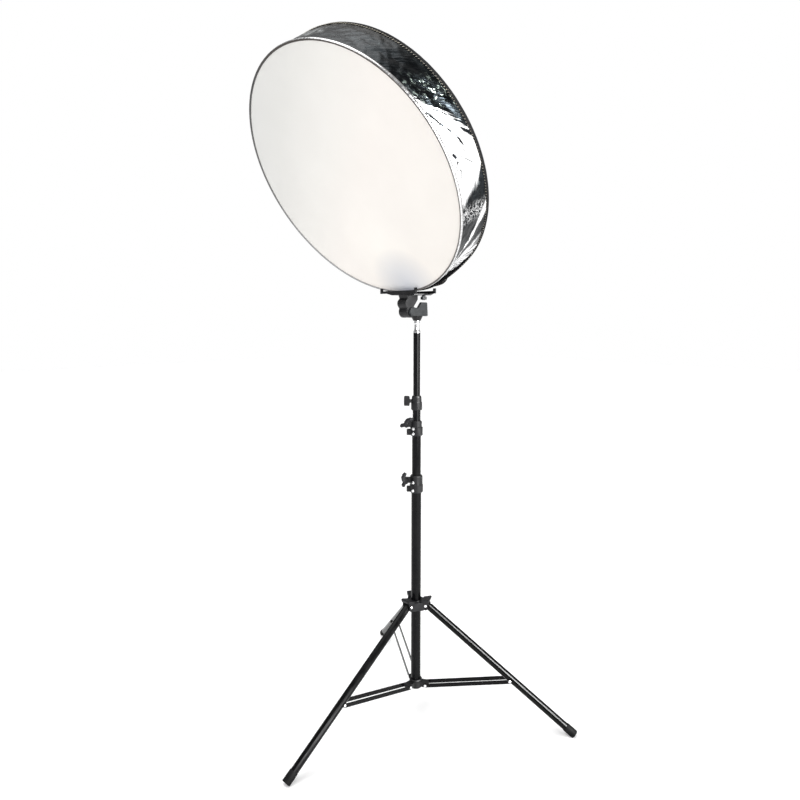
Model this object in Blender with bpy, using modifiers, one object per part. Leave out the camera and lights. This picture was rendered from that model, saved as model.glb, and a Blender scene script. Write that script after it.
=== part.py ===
"""Collapsible reflector disc: a shallow fabric drum on two spring hoops, held by its lower rim
in a hooked bracket on a tilting head, on a four-tube light stand with folding legs.

The column stands on the Z axis of the empty "column_axis". The disc faces -Y and leans forward.
"""

from math import asin, atan2, cos, degrees, hypot, pi, radians, sin, sqrt, tau

import bmesh
import bpy
from mathutils import Matrix, Vector

MM = 0.001
GAP = 0.3 * MM  # between pieces that touch or slide

# Column: four telescoping tubes, widest at the bottom
TUBE_SIDES = 20
TUBE_WALL = 1.2 * MM
TUBE_RADIUS = {"base": 14.0 * MM, "lower": 12.5 * MM, "middle": 11.0 * MM, "upper": 9.5 * MM}
TUBE_SPAN = {
    "base": (74.0 * MM, 690.0 * MM),
    "lower": (238.0 * MM, 838.0 * MM),
    "middle": (320.0 * MM, 904.0 * MM),
    "upper": (559.0 * MM, 1099.0 * MM),
}
TUBE_SLOP = GAP  # radial clearance of a collar on its tube
CLEAN_CUT = 0.03 * MM  # a cutter goes this far past a face that it would otherwise lie on

# Legs and braces
LEG_AZIMUTHS = {"front": -90.0, "right": 30.0, "left": 150.0}
LEG_RADIUS = 10.5 * MM
LEG_LENGTH = 517.0 * MM  # hub pivot to the tube's lower end
LEG_SLOPE = 37.4  # degrees below the horizontal
HUB_PIVOT_R = 31.5 * MM
HUB_PIVOT_Z = 326.1 * MM
COLLAR_PIVOT_R = 31.6 * MM
COLLAR_PIVOT_Z = 82.6 * MM
BRACE_ALONG_LEG = 308.0 * MM
BRACE_BELOW_AXIS = 4.4 * MM
BRACE_HEIGHT = 11.0 * MM
BRACE_THICKNESS = 2.0 * MM
PIN_RADIUS = 2.3 * MM
PIN_HEAD_RADIUS = 4.2 * MM
PIN_HEAD_HEIGHT = 1.6 * MM
CHEEK_INNER = LEG_RADIUS + GAP
CHEEK_THICKNESS = 3.7 * MM
FOOT_RADIUS = 12.0 * MM
FOOT_LENGTH = 32.0 * MM
FOOT_END = LEG_LENGTH + 12.0 * MM  # the rubber closes the end of the tube

# The origin is at the middle of the footprint, and the column stands behind it
SLOPE = radians(LEG_SLOPE)
FOOT_END_R = HUB_PIVOT_R + FOOT_END * cos(SLOPE)
FRONT_REACH = FOOT_END_R + FOOT_RADIUS * sin(SLOPE)
BACK_REACH = FOOT_END_R * 0.5 + FOOT_RADIUS * sqrt(1.0 - (0.5 * cos(SLOPE)) ** 2)
COLUMN_Y = (FRONT_REACH - BACK_REACH) / 2

# Tube clamps: the ears and the knobs point to one side of the column
EAR_AZIMUTH = 225.0
LEVER_X = 28.0 * MM  # bolt's distance from the column's axis
EAR_HALF_WIDTH = 8.0 * MM
SLOT_WIDTH = 2.4 * MM

# Head: the tilt axis runs along X, in front of the column
TILT_Y = -37.0 * MM
TILT_Z = 1156.0 * MM
BARREL_RADIUS = 16.0 * MM
HEAD_HALF_WIDTH = 16.0 * MM
TILT_AT = (0.0, TILT_Y, TILT_Z)
TONGUE_HALF_WIDTH = 6.2 * MM
PLATE_Z = 1199.5 * MM
PLATE_THICKNESS = 4.0 * MM

# Drum: two hoops, the front one smaller; its axes are x, y up the disc, z to the front
DRUM_SIDES = 48
DRUM_CENTRE = Vector((0.0, -230.4, 1464.4)) * MM  # of the front hoop, from the column's foot
DRUM_LEAN = 36.0  # degrees that the face looks down
FRONT_RADIUS = 318.0 * MM
REAR_RADIUS = 324.0 * MM
DRUM_DEPTH = 93.6 * MM
REAR_DROP = 11.0 * MM  # the rear hoop's centre, down the disc
REAR_TURN = 0.014  # radians between the hoops' planes
HOOP_WIDTH = 5.0 * MM
HOOP_THICKNESS = 1.2 * MM
FABRIC = 0.8 * MM
PINCH = 54.0 * MM  # the bracket draws the rear rim this far towards the front rim
PINCH_FULL = radians(9.0)
PINCH_END = radians(38.0)

BLACK = (0.012, 0.012, 0.014)
CHARCOAL = (0.030, 0.031, 0.035)
GREY = (0.080, 0.088, 0.090)
STEEL = (0.62, 0.62, 0.63)
WHITE = (0.86, 0.85, 0.83)
SILVER = (0.72, 0.73, 0.74)


def clear_scene():
    for item in list(bpy.data.objects):
        bpy.data.objects.remove(item, do_unlink=True)
    for group in list(bpy.data.collections):
        bpy.data.collections.remove(group)


clear_scene()
PARTS = bpy.data.collections.new("collapsible_reflector_disc")
CUTTERS = bpy.data.collections.new("cutters")
bpy.context.scene.collection.children.link(PARTS)
bpy.context.scene.collection.children.link(CUTTERS)


def empty(name, location, parent=None, turn=0.0):
    """A frame to place pieces in, turned about Z by a number of degrees."""
    item = bpy.data.objects.new(name, None)
    item.location = location
    item.rotation_euler.z = radians(turn)
    item.parent = parent
    PARTS.objects.link(item)
    return item


COLUMN = empty("column_axis", (0.0, COLUMN_Y, 0.0))
TILT = empty("tilt_axis", (0.0, TILT_Y, TILT_Z), COLUMN)


# --- making and placing ------------------------------------------------------------------------

item_tools = {}  # the cutters that shape each part

def material(name, colour, roughness, metallic):
    made = bpy.data.materials.new(name)
    made.use_nodes = True
    shader = made.node_tree.nodes["Principled BSDF"]
    shader.inputs["Base Color"].default_value = (*colour, 1.0)
    shader.inputs["Roughness"].default_value = roughness
    shader.inputs["Metallic"].default_value = metallic
    return made


def place(item, parent, matrix):
    item.parent = parent
    item.matrix_parent_inverse = Matrix.Identity(4)
    item.matrix_basis = matrix


def recentre(item, shift):
    """Moves a mesh and all that shapes it within their own frames."""
    item.data.transform(shift)
    for tool in item_tools.get(item.name, []):
        recentre(tool, shift)


def finish(item, look, parent=COLUMN, matrix=None, origin=(0.0, 0.0, 0.0)):
    """Makes an object a part: its material, its smooth shading, its place and its origin."""
    colour, roughness, metallic = look
    item.data.materials.clear()
    item.data.materials.append(material(item.name, colour, roughness, metallic))
    item.data.shade_smooth()
    item.data.set_sharp_from_angle(angle=radians(35))
    at = Matrix.Translation(origin)
    recentre(item, at.inverted())
    from_column = Matrix.Identity(4) if parent is COLUMN else parent.matrix_basis.inverted()
    place(item, parent, from_column @ (matrix or Matrix.Identity(4)) @ at)
    return item


def link_new(name, mesh, group):
    item = bpy.data.objects.new(name, mesh)
    group.objects.link(item)
    if group is CUTTERS:
        item.hide_render = True
        item.display_type = "WIRE"
    return item


def from_bmesh(name, shape, group=PARTS):
    mesh = bpy.data.meshes.new(name)
    shape.to_mesh(mesh)
    shape.free()
    return link_new(name, mesh, group)


def box(name, low, high, group=CUTTERS):
    """A block between two corners."""
    shape = bmesh.new()
    bmesh.ops.create_cube(shape, size=1.0)
    low, high = Vector(low), Vector(high)
    size = Matrix.Diagonal((*(high - low), 1.0))
    bmesh.ops.transform(shape, matrix=Matrix.Translation((low + high) / 2) @ size, verts=shape.verts)
    return from_bmesh(name, shape, group)


def rod(name, radius, start, end, group=CUTTERS, sides=TUBE_SIDES, end_radius=None):
    """A round bar, or a cone, between two points."""
    start, end = Vector(start), Vector(end)
    shape = bmesh.new()
    bmesh.ops.create_cone(
        shape,
        cap_ends=True,
        segments=sides,
        radius1=radius,
        radius2=radius if end_radius is None else end_radius,
        depth=(end - start).length,
    )
    turn = Vector((0, 0, 1)).rotation_difference(end - start).to_matrix().to_4x4()
    bmesh.ops.transform(shape, matrix=Matrix.Translation((start + end) / 2) @ turn, verts=shape.verts)
    return from_bmesh(name, shape, group)


def turned(name, profile, closed=False, sides=TUBE_SIDES, group=PARTS):
    """A profile of (radius, height) points turned about Z. It runs down its outer side."""
    mesh = bpy.data.meshes.new(name)
    points = [(radius, 0.0, height) for radius, height in profile]
    edges = [(i, i + 1) for i in range(len(points) - 1)]
    if closed:
        edges.append((len(points) - 1, 0))
    mesh.from_pydata(points, edges, [])
    item = link_new(name, mesh, group)
    screw = item.modifiers.new("turn", "SCREW")
    screw.axis = "Z"
    screw.angle = tau
    screw.steps = sides
    screw.render_steps = sides
    screw.use_merge_vertices = True
    screw.merge_threshold = 0.1 * GAP
    screw.use_smooth_shade = True
    return item


def ring(name, inner, outer, low, high, sides=TUBE_SIDES, group=PARTS):
    profile = [(outer, high), (outer, low), (inner, low), (inner, high)]
    return turned(name, profile, closed=True, sides=sides, group=group)


def outline_solid(name, outline, half_depth, group=CUTTERS):
    """A flat outline in X and Y, thickened to both sides of Z = 0."""
    curve = bpy.data.curves.new(name, "CURVE")
    curve.dimensions = "2D"
    curve.fill_mode = "BOTH"
    curve.extrude = half_depth
    curve.resolution_u = 1
    spline = curve.splines.new("POLY")
    spline.points.add(len(outline) - 1)
    spline.use_cyclic_u = True
    for point, (x, y) in zip(spline.points, outline):
        point.co = (x, y, 0.0, 1.0)
    return meshed(name, curve, group)


def swept(name, path, radii, depth, group=PARTS, resolution=3):
    """A round bar along a bent path, with a radius factor at each point."""
    curve = bpy.data.curves.new(name, "CURVE")
    curve.dimensions = "3D"
    curve.bevel_depth = depth
    curve.bevel_resolution = resolution
    curve.use_fill_caps = True
    spline = curve.splines.new("POLY")
    spline.points.add(len(path) - 1)
    for point, place_at, factor in zip(spline.points, path, radii):
        point.co = (*place_at, 1.0)
        point.radius = factor
    return meshed(name, curve, group)


def meshed(name, curve, group):
    """Turns a curve into a mesh object whose caps are welded."""
    holder = bpy.data.objects.new(name + "_curve", curve)
    CUTTERS.objects.link(holder)
    bpy.context.view_layer.update()
    graph = bpy.context.evaluated_depsgraph_get()
    mesh = bpy.data.meshes.new_from_object(holder.evaluated_get(graph))
    bpy.data.objects.remove(holder, do_unlink=True)
    shape = bmesh.new()
    shape.from_mesh(mesh)
    bmesh.ops.remove_doubles(shape, verts=shape.verts, dist=0.1 * GAP)
    bmesh.ops.recalc_face_normals(shape, faces=shape.faces)
    shape.to_mesh(mesh)
    shape.free()
    return link_new(name, mesh, group)


def moved(item, matrix):
    """Moves a mesh within its object's own frame."""
    item.data.transform(matrix)
    return item


def combine(item, operation, others):
    """Joins or cuts with other objects, which become hidden cutters that share its frame."""
    for other in others:
        step = item.modifiers.new(operation.lower(), "BOOLEAN")
        step.operation = operation
        step.solver = "EXACT"
        step.object = other
        if other.name not in CUTTERS.objects:
            CUTTERS.objects.link(other)
            PARTS.objects.unlink(other)
        other.hide_render = True
        other.display_type = "WIRE"
    item_tools.setdefault(item.name, []).extend(others)
    return item


def follow_frames():
    """Gives each cutter the frame of the part that it shapes, also through other cutters."""

    def hand_down(owner_name, parent, matrix):
        for tool in item_tools.get(owner_name, []):
            place(tool, parent, matrix)
            hand_down(tool.name, parent, matrix)

    for item in PARTS.objects:
        if item.name in item_tools:
            hand_down(item.name, item.parent, item.matrix_basis.copy())


def arc(centre, radius, start, end, steps):
    """Points on an arc, with angles in degrees."""
    angles = [radians(start + (end - start) * i / steps) for i in range(steps + 1)]
    return [(centre[0] + radius * cos(a), centre[1] + radius * sin(a)) for a in angles]


def slot_outline(length, height, steps=6):
    """A bar with round ends, from the first hole's centre at (0, 0) along +X."""
    radius = height / 2
    return arc((length, 0), radius, -90, 90, steps) + arc((0, 0), radius, 90, 270, steps)


def rounded_box(name, low, high, radius, group=PARTS, segments=2):
    item = box(name, low, high, group)
    bevel = item.modifiers.new("round", "BEVEL")
    bevel.width = radius
    bevel.segments = segments
    bevel.limit_method = "ANGLE"
    return item


UPRIGHT = Matrix.Rotation(radians(90), 4, "X")  # an outline's Y becomes Z, its depth runs along Y
SIDE_ON = Matrix(((0, 0, 1, 0), (1, 0, 0, 0), (0, 1, 0, 0), (0, 0, 0, 1)))  # x, y, z to Y, Z, X

PAINT = (BLACK, 0.28, 0.6)
PLASTIC = (CHARCOAL, 0.55, 0.0)
GREY_PLASTIC = (GREY, 0.5, 0.0)
CHROME = (STEEL, 0.15, 1.0)
SPRING_STEEL = (STEEL, 0.4, 1.0)
RUBBER = (BLACK, 0.85, 0.0)
DIFFUSER = (WHITE, 0.8, 0.0)
FOIL = (SILVER, 0.2, 0.9)
TAPE = (BLACK, 0.8, 0.0)


# --- column ------------------------------------------------------------------------------------


def make_tube(name, size):
    outer = TUBE_RADIUS[size]
    low, high = TUBE_SPAN[size]
    return finish(ring(name, outer - TUBE_WALL, outer, low, high), PAINT)


def make_column_plug():
    outer = TUBE_RADIUS["base"]
    seat = TUBE_SPAN["base"][0] - GAP
    inside = outer - TUBE_WALL - GAP
    profile = [
        (0.0, seat + 12 * MM),
        (inside, seat + 12 * MM),
        (inside, seat),
        (outer, seat),
        (outer, seat - 2 * MM),
        (outer - 2 * MM, seat - 4 * MM),
        (0.0, seat - 4 * MM),
    ]
    finish(turned("column_plug", profile), PLASTIC)


def pin(name, half_grip, look=CHROME, parent=COLUMN, matrix=None):
    """A rivet along its own Z with a low domed head at each end."""
    dome = PIN_HEAD_RADIUS * 0.75
    top = half_grip + PIN_HEAD_HEIGHT
    upper = [(0.0, top), (dome, top - 0.3 * MM), (PIN_HEAD_RADIUS, top - 1.0 * MM)]
    upper += [(PIN_HEAD_RADIUS, half_grip), (PIN_RADIUS, half_grip)]
    profile = upper + [(radius, -height) for radius, height in reversed(upper)]
    return finish(turned(name, profile, sides=10), look, parent, matrix)


def pivot_matrix(azimuth, radius, height):
    """A frame at a pivot: X points outwards, Z up; the pivot's axis is Y."""
    out = Matrix.Rotation(radians(azimuth), 4, "Z")
    return out @ Matrix.Translation((radius, 0.0, height))


ALONG_Y = Matrix.Rotation(radians(90), 4, "X")
HOLE_RADIUS = PIN_RADIUS + GAP


def make_lower_collar():
    """The fixed collar at the column's foot, with a lug for each pair of brace strips."""
    bore = TUBE_RADIUS["base"] + TUBE_SLOP
    profile = [
        (18.5 * MM, 94 * MM),
        (18.5 * MM, 72 * MM),
        (17.0 * MM, 70 * MM),
        (bore, 70 * MM),
        (bore, 96 * MM),
        (17.0 * MM, 96 * MM),
    ]
    collar = turned("lower_collar", profile, closed=True)
    tools = []
    for name, azimuth in LEG_AZIMUTHS.items():
        outline = [(-17 * MM, -7 * MM)] + arc((0, 0), 7 * MM, -90, 90, 8) + [(-17 * MM, 7 * MM)]
        lug = outline_solid("collar_lug_" + name, outline, CHEEK_INNER - 2 * GAP)
        at = pivot_matrix(azimuth, COLLAR_PIVOT_R, COLLAR_PIVOT_Z)
        moved(lug, at @ UPRIGHT)
        tools.append(lug)
    combine(collar, "UNION", tools)
    holes = []
    for name, azimuth in LEG_AZIMUTHS.items():
        hole = rod("collar_hole_" + name, HOLE_RADIUS, (0, -20 * MM, 0), (0, 20 * MM, 0), sides=10)
        moved(hole, pivot_matrix(azimuth, COLLAR_PIVOT_R, COLLAR_PIVOT_Z))
        holes.append(hole)
    combine(collar, "DIFFERENCE", holes)
    finish(collar, PLASTIC, origin=(0.0, 0.0, COLLAR_PIVOT_Z))


# --- hub and legs ------------------------------------------------------------------------------

HUB_LOW = 312.0 * MM
HUB_TOP = 335.5 * MM
HUB_SLEEVE_TOP = 338.5 * MM
HUB_CORNER_R = 26.5 * MM
CHEEK_OUTER = CHEEK_INNER + CHEEK_THICKNESS
ROOF_INNER_R = 19.0 * MM
ROOF_OUTER_R = 43.0 * MM
KNOB_Z = 323.0 * MM
HUB_KNOB_AZIMUTH = 90.0


def make_hub():
    """The sliding hub: a six-sided casting with a slot for each leg and a flared roof over it."""
    corners = []
    for azimuth in sorted(LEG_AZIMUTHS.values()):
        out = Matrix.Rotation(radians(azimuth), 2)
        corners += [out @ Vector((HUB_CORNER_R, side)) for side in (-CHEEK_OUTER, CHEEK_OUTER)]
    body = outline_solid("hub_collar", [tuple(c) for c in corners], (HUB_TOP - HUB_LOW) / 2, PARTS)
    moved(body, Matrix.Translation((0, 0, (HUB_TOP + HUB_LOW) / 2)))
    sleeve = rod("hub_sleeve", 18 * MM, (0, 0, HUB_LOW - 3 * MM), (0, 0, HUB_SLEEVE_TOP), sides=24)
    added, cut = [sleeve], []
    for name, azimuth in LEG_AZIMUTHS.items():
        out = Matrix.Rotation(radians(azimuth), 4, "Z")
        roof = [
            (ROOF_INNER_R, HUB_TOP - 2 * MM),
            (ROOF_OUTER_R - 2 * MM, HUB_TOP + 1 * MM),
            (ROOF_OUTER_R, HUB_TOP + 8 * MM),
            (ROOF_OUTER_R - 3 * MM, HUB_TOP + 11 * MM),
            (ROOF_INNER_R, HUB_TOP + 5 * MM),
        ]
        flare = outline_solid("hub_roof_" + name, roof, CHEEK_OUTER + 2 * MM)
        moved(flare, out @ UPRIGHT)
        added.append(flare)
        cheeks = outline_solid(
            "hub_cheeks_" + name,
            [(16 * MM, HUB_LOW + 2 * MM)]
            + arc((HUB_PIVOT_R, HUB_PIVOT_Z - 5 * MM), 7.5 * MM, -80, 0, 4)
            + [(HUB_PIVOT_R + 7.5 * MM, HUB_TOP + 2 * MM), (16 * MM, HUB_TOP + 2 * MM)],
            CHEEK_OUTER,
        )
        moved(cheeks, out @ UPRIGHT)
        added.append(cheeks)
        slot = box(
            "hub_slot_" + name,
            (18.6 * MM, -CHEEK_INNER, HUB_LOW - 5 * MM),
            (60 * MM, CHEEK_INNER, HUB_PIVOT_Z + LEG_RADIUS + 2 * GAP),
        )
        moved(slot, out)
        hole = rod("hub_hole_" + name, HOLE_RADIUS, (0, -20 * MM, 0), (0, 20 * MM, 0), sides=10)
        moved(hole, pivot_matrix(azimuth, HUB_PIVOT_R, HUB_PIVOT_Z))
        cut += [slot, hole]
    bore = TUBE_RADIUS["base"] + TUBE_SLOP
    cut.append(rod("hub_bore", bore, (0, 0, 0.2), (0, 0, 0.5), sides=TUBE_SIDES))
    screw_way = rod("hub_screw_way", 3.4 * MM, (11 * MM, 0, KNOB_Z), (45 * MM, 0, KNOB_Z), sides=12)
    cut.append(moved(screw_way, Matrix.Rotation(radians(HUB_KNOB_AZIMUTH), 4, "Z")))
    combine(body, "UNION", added)
    combine(body, "DIFFERENCE", cut)
    finish(body, PLASTIC, origin=(0.0, 0.0, HUB_PIVOT_Z))


def lobed_outline(radius, depth, lobes, steps):
    """A knob's fluted rim: a circle whose radius waves in and out."""
    points = []
    for i in range(lobes * steps):
        angle = tau * i / (lobes * steps)
        wave = radius - depth * (0.5 - 0.5 * cos(lobes * angle))
        points.append((wave * cos(angle), wave * sin(angle)))
    return points


def thumb_knob(name, radius, height, neck_radius, neck, stud_radius, stud, look):
    """A fluted knob on a stud. Its own Z points from the knob to the stud's tip at Z = 0."""
    knob = outline_solid(name, lobed_outline(radius, 0.18 * radius, 6, 4), height / 2, PARTS)
    back = -stud - neck
    moved(knob, Matrix.Translation((0, 0, back - height / 2)))
    collar = rod(name + "_neck", neck_radius, (0, 0, back - 2 * MM), (0, 0, -stud), sides=12)
    shaft = rod(name + "_stud", stud_radius, (0, 0, back + 1 * MM), (0, 0, 0), sides=12)
    cap = rod(
        name + "_cap",
        0.6 * radius,
        (0, 0, back - height + 1 * MM),
        (0, 0, back - height - 1.2 * MM),
        sides=12,
        end_radius=0.45 * radius,
    )
    off_corner = Matrix.Rotation(radians(8), 4, "Z")
    combine(knob, "UNION", [moved(tool, off_corner) for tool in (collar, shaft, cap)])
    return knob, look


def radial_frame(azimuth, radius, height):
    """Z points at the column's axis, from a point at this radius."""
    out = Matrix.Rotation(radians(azimuth), 4, "Z")
    inward = Matrix.Rotation(radians(-90), 4, "Y")
    return out @ Matrix.Translation((radius, 0, height)) @ inward


def make_hub_knob():
    tip = TUBE_RADIUS["base"] + GAP
    knob, look = thumb_knob(
        "hub_lock_knob", 6.5 * MM, 10 * MM, 5 * MM, 5 * MM, 3 * MM, 17 * MM, PLASTIC
    )
    finish(knob, look, matrix=radial_frame(HUB_KNOB_AZIMUTH, tip, KNOB_Z))


def leg_frame(azimuth):
    """X runs down the leg from the hub pivot; Y is the pivot's axis."""
    slope = Matrix.Rotation(SLOPE, 4, "Y")
    return pivot_matrix(azimuth, HUB_PIVOT_R, HUB_PIVOT_Z) @ slope


TUBE_ALONG_X = Matrix.Rotation(radians(90), 4, "Y")
LEG_TUBE_START = 10.2 * MM
KNUCKLE_RADIUS = 9.8 * MM


def make_leg(name, azimuth):
    frame = leg_frame(azimuth)
    along = frame @ TUBE_ALONG_X
    inner = LEG_RADIUS - TUBE_WALL
    tube = ring("leg_tube_" + name, inner, LEG_RADIUS, LEG_TUBE_START, LEG_LENGTH)
    finish(tube, PAINT, matrix=along)

    knuckle = rod(
        "leg_knuckle_" + name,
        KNUCKLE_RADIUS,
        (0, -LEG_RADIUS + GAP, 0),
        (0, LEG_RADIUS - GAP, 0),
        group=PARTS,
        sides=16,
    )
    plug = rod("leg_plug_" + name, inner - GAP, (0, 0, 0), (40 * MM, 0, 0))
    hole = rod("leg_hole_" + name, HOLE_RADIUS, (0, -20 * MM, 0), (0, 20 * MM, 0), sides=10)
    combine(knuckle, "UNION", [plug])
    combine(knuckle, "DIFFERENCE", [hole])
    finish(knuckle, PLASTIC, matrix=frame)

    foot_start = FOOT_END - FOOT_LENGTH
    profile = [
        (0.0, FOOT_END),
        (FOOT_RADIUS, FOOT_END),
        (FOOT_RADIUS, foot_start + 2 * MM),
        (FOOT_RADIUS - 0.8 * MM, foot_start),
        (LEG_RADIUS + GAP, foot_start),
        (LEG_RADIUS + GAP, LEG_LENGTH + GAP),
        (0.0, LEG_LENGTH + GAP),
    ]
    foot = turned("leg_foot_" + name, profile)
    ground = box("ground_" + name, (0.3, -0.1, -0.1), (0.6, 0.1, 0.0))
    moved(ground, along.inverted() @ Matrix.Rotation(radians(azimuth), 4, "Z"))
    combine(foot, "DIFFERENCE", [ground])
    finish(foot, RUBBER, matrix=along)
    pivot = pivot_matrix(azimuth, HUB_PIVOT_R, HUB_PIVOT_Z)
    pin("hub_pin_" + name, CHEEK_OUTER + GAP, matrix=pivot @ ALONG_Y)


def brace_ends():
    """The brace's pivots, as (outwards, up)."""
    inner = Vector((COLLAR_PIVOT_R, COLLAR_PIVOT_Z))
    along = Vector((cos(SLOPE), -sin(SLOPE)))
    below = Vector((-sin(SLOPE), -cos(SLOPE)))
    hub = Vector((HUB_PIVOT_R, HUB_PIVOT_Z))
    return inner, hub + along * BRACE_ALONG_LEG + below * BRACE_BELOW_AXIS


def make_brace(name, azimuth):
    """A pair of flat strips that straddle the leg, on a pin through the collar's lug."""
    inner, outer = brace_ends()
    length = (outer - inner).length
    rise = atan2(outer.y - inner.y, outer.x - inner.x)
    frame = pivot_matrix(azimuth, COLLAR_PIVOT_R, COLLAR_PIVOT_Z) @ Matrix.Rotation(-rise, 4, "Y")
    for side, sign in (("near", -1), ("far", 1)):
        strip = outline_solid(
            f"brace_{name}_{side}", slot_outline(length, BRACE_HEIGHT), BRACE_THICKNESS / 2, PARTS
        )
        middle = sign * (CHEEK_INNER + BRACE_THICKNESS / 2)
        moved(strip, Matrix.Translation((0, middle, 0)) @ UPRIGHT)
        holes = [
            rod(f"{strip.name}_hole_{i}", HOLE_RADIUS, (x, -0.03, 0), (x, 0.03, 0), sides=10)
            for i, x in enumerate((0.0, length))
        ]
        combine(strip, "DIFFERENCE", holes)
        finish(strip, PAINT, matrix=frame)
    grip = CHEEK_INNER + BRACE_THICKNESS + GAP
    pivot = pivot_matrix(azimuth, COLLAR_PIVOT_R, COLLAR_PIVOT_Z)
    pin("collar_pin_" + name, grip, matrix=pivot @ ALONG_Y)


# --- tube clamps -------------------------------------------------------------------------------

EARS = Matrix.Rotation(radians(EAR_AZIMUTH), 4, "Z")
LEVER_HUB = (8.3 * MM, 18.0 * MM)  # the boss beyond the ears, along the bolt
LEVER_REACH = 28.0 * MM


def make_lever_clamp(name, outer_tube, inner_tube, low_band, high_band, bolt_z, rivets):
    """Two stacked bands on a tube's top end; the upper one is split and drawn in by the bolt."""
    low_z, low_r, low_top = low_band
    high_z, high_r, high_top = high_band
    tube_top = TUBE_SPAN[outer_tube][1]
    wide = TUBE_RADIUS[outer_tube] + TUBE_SLOP
    narrow = TUBE_RADIUS[inner_tube] + TUBE_SLOP
    profile = [
        (high_r - 2.0 * MM, high_top),
        (high_r, high_top - 3.0 * MM),
        (high_r, high_z),
        (low_r, low_top),
        (low_r, low_z + 3.0 * MM),
        (low_r - 2.5 * MM, low_z),
        (wide, low_z),
        (wide, tube_top + GAP),
        (narrow, tube_top + GAP),
        (narrow, high_top),
    ]
    body = turned(name, profile, closed=True)
    ear = outline_solid(
        name + "_ear",
        [((narrow + wide) / 2 + 2 * MM, bolt_z - 7 * MM)]
        + arc((LEVER_X, bolt_z), 7 * MM, -90, 90, 8)
        + [((narrow + wide) / 2 + 2 * MM, bolt_z + 7 * MM)],
        EAR_HALF_WIDTH,
    )
    moved(ear, EARS @ UPRIGHT)
    foot = rounded_box(
        name + "_foot",
        (wide + 1.5 * MM, -7 * MM, low_z + 2 * MM),
        (27.3 * MM, 7 * MM, low_top - 5 * MM),
        1.5 * MM,
        CUTTERS,
        1,
    )
    moved(foot, EARS)
    slot = box(
        name + "_slot",
        (0.0, -SLOT_WIDTH / 2, high_z + 1 * MM),
        (0.05, SLOT_WIDTH / 2, high_top + 5 * MM),
    )
    moved(slot, EARS)
    bolt_way = rod(
        name + "_bolt_way",
        3.3 * MM,
        (LEVER_X, -20 * MM, bolt_z),
        (LEVER_X, 20 * MM, bolt_z),
        sides=12,
    )
    moved(bolt_way, EARS)
    ways = []
    for i, (z, radius) in enumerate(rivets):
        way = rod(f"{name}_rivet_way_{i}", 2.6 * MM, (5 * MM, 0, z), (30 * MM, 0, z), sides=10)
        ways.append(moved(way, Matrix.Rotation(radians(RIVET_AZIMUTH), 4, "Z")))
    seat = tube_top + GAP + CLEAN_CUT
    core = rod(name + "_bore", narrow + CLEAN_CUT, (0, 0, low_z - 0.01), (0, 0, high_top + 0.01))
    low_core = rod(name + "_low_bore", wide + CLEAN_CUT, (0, 0, low_z - 0.01), (0, 0, seat))
    combine(body, "UNION", [ear, foot])
    combine(body, "DIFFERENCE", [slot, bolt_way, core, low_core, *ways])
    finish(body, PLASTIC, origin=(0.0, 0.0, high_z))


RIVET_AZIMUTH = EAR_AZIMUTH + 60.0


def make_rivet(name, radius, height, tube):
    """A domed rivet from a clamp's face in to its tube."""
    tip = TUBE_RADIUS[tube] + GAP
    length = radius - tip
    profile = [
        (0.0, 0.0),
        (2.3 * MM, 0.0),
        (2.3 * MM, -length - GAP),
        (4.4 * MM, -length - GAP),
        (4.4 * MM, -length - 1.0 * MM),
        (3.0 * MM, -length - 2.0 * MM),
        (0.0, -length - 2.3 * MM),
    ]
    frame = radial_frame(RIVET_AZIMUTH, tip, height)
    finish(turned(name, profile, sides=10), CHROME, matrix=frame)


def make_lever(name, bolt_z, turn):
    """A curved two-winged lever on the clamp's bolt, held clear of the bands by its boss."""
    start, end = LEVER_HUB
    middle = (end + LEVER_REACH) / 2
    path = [(2, 25), (6, 19), (8.5, 12), (7.5, 5), (4.5, 0), (6, -5), (8, -9), (7, -14)]
    radii = [0.75, 1.05, 1.1, 1.0, 0.95, 1.0, 1.0, 0.7]
    points = [(x * MM, middle, z * MM) for x, z in path]
    lever = swept(name, points, radii, (LEVER_REACH - end) / 2 + 0.6 * MM)
    boss = rod(name + "_boss", 5.6 * MM, (0, start, 0), (0, middle, 0), sides=16)
    cap = rod(
        name + "_cap", 6.4 * MM, (0, end, 0), (0, LEVER_REACH + 0.8 * MM, 0), sides=16,
        end_radius=5.2 * MM,
    )
    stud = rod(name + "_stud", 3.0 * MM, (0, -10.5 * MM, 0), (0, middle, 0), sides=12)
    combine(lever, "UNION", [boss, cap, stud])
    frame = EARS @ Matrix.Translation((LEVER_X, 0, bolt_z)) @ Matrix.Rotation(radians(turn), 4, "Y")
    finish(lever, PLASTIC, matrix=frame)


def make_upper_clamp():
    """The topmost clamp: a flared collar with a boss for its screw."""
    wide = TUBE_RADIUS["middle"] + TUBE_SLOP
    narrow = TUBE_RADIUS["upper"] + TUBE_SLOP
    seat = TUBE_SPAN["middle"][1] + GAP
    profile = [
        (12.0 * MM, 926.5 * MM),
        (13.4 * MM, 923 * MM),
        (13.8 * MM, 911 * MM),
        (15.4 * MM, 908 * MM),
        (15.4 * MM, 890 * MM),
        (13.8 * MM, 887 * MM),
        (wide, 887 * MM),
        (wide, seat),
        (narrow, seat),
        (narrow, 926.5 * MM),
    ]
    body = turned("clamp_upper", profile, closed=True)
    boss = rod("clamp_upper_boss", 5.5 * MM, (11 * MM, 0, T_KNOB_Z), (16 * MM, 0, T_KNOB_Z))
    way = rod("clamp_upper_way", 3.3 * MM, (6 * MM, 0, T_KNOB_Z), (25 * MM, 0, T_KNOB_Z), sides=12)
    core = rod("clamp_upper_bore", narrow + CLEAN_CUT, (0, 0, seat - 5 * MM), (0, 0, 0.94))
    combine(body, "UNION", [moved(boss, EARS)])
    combine(body, "DIFFERENCE", [core, moved(way, EARS)])
    finish(body, PLASTIC, origin=(0.0, 0.0, seat))


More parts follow.
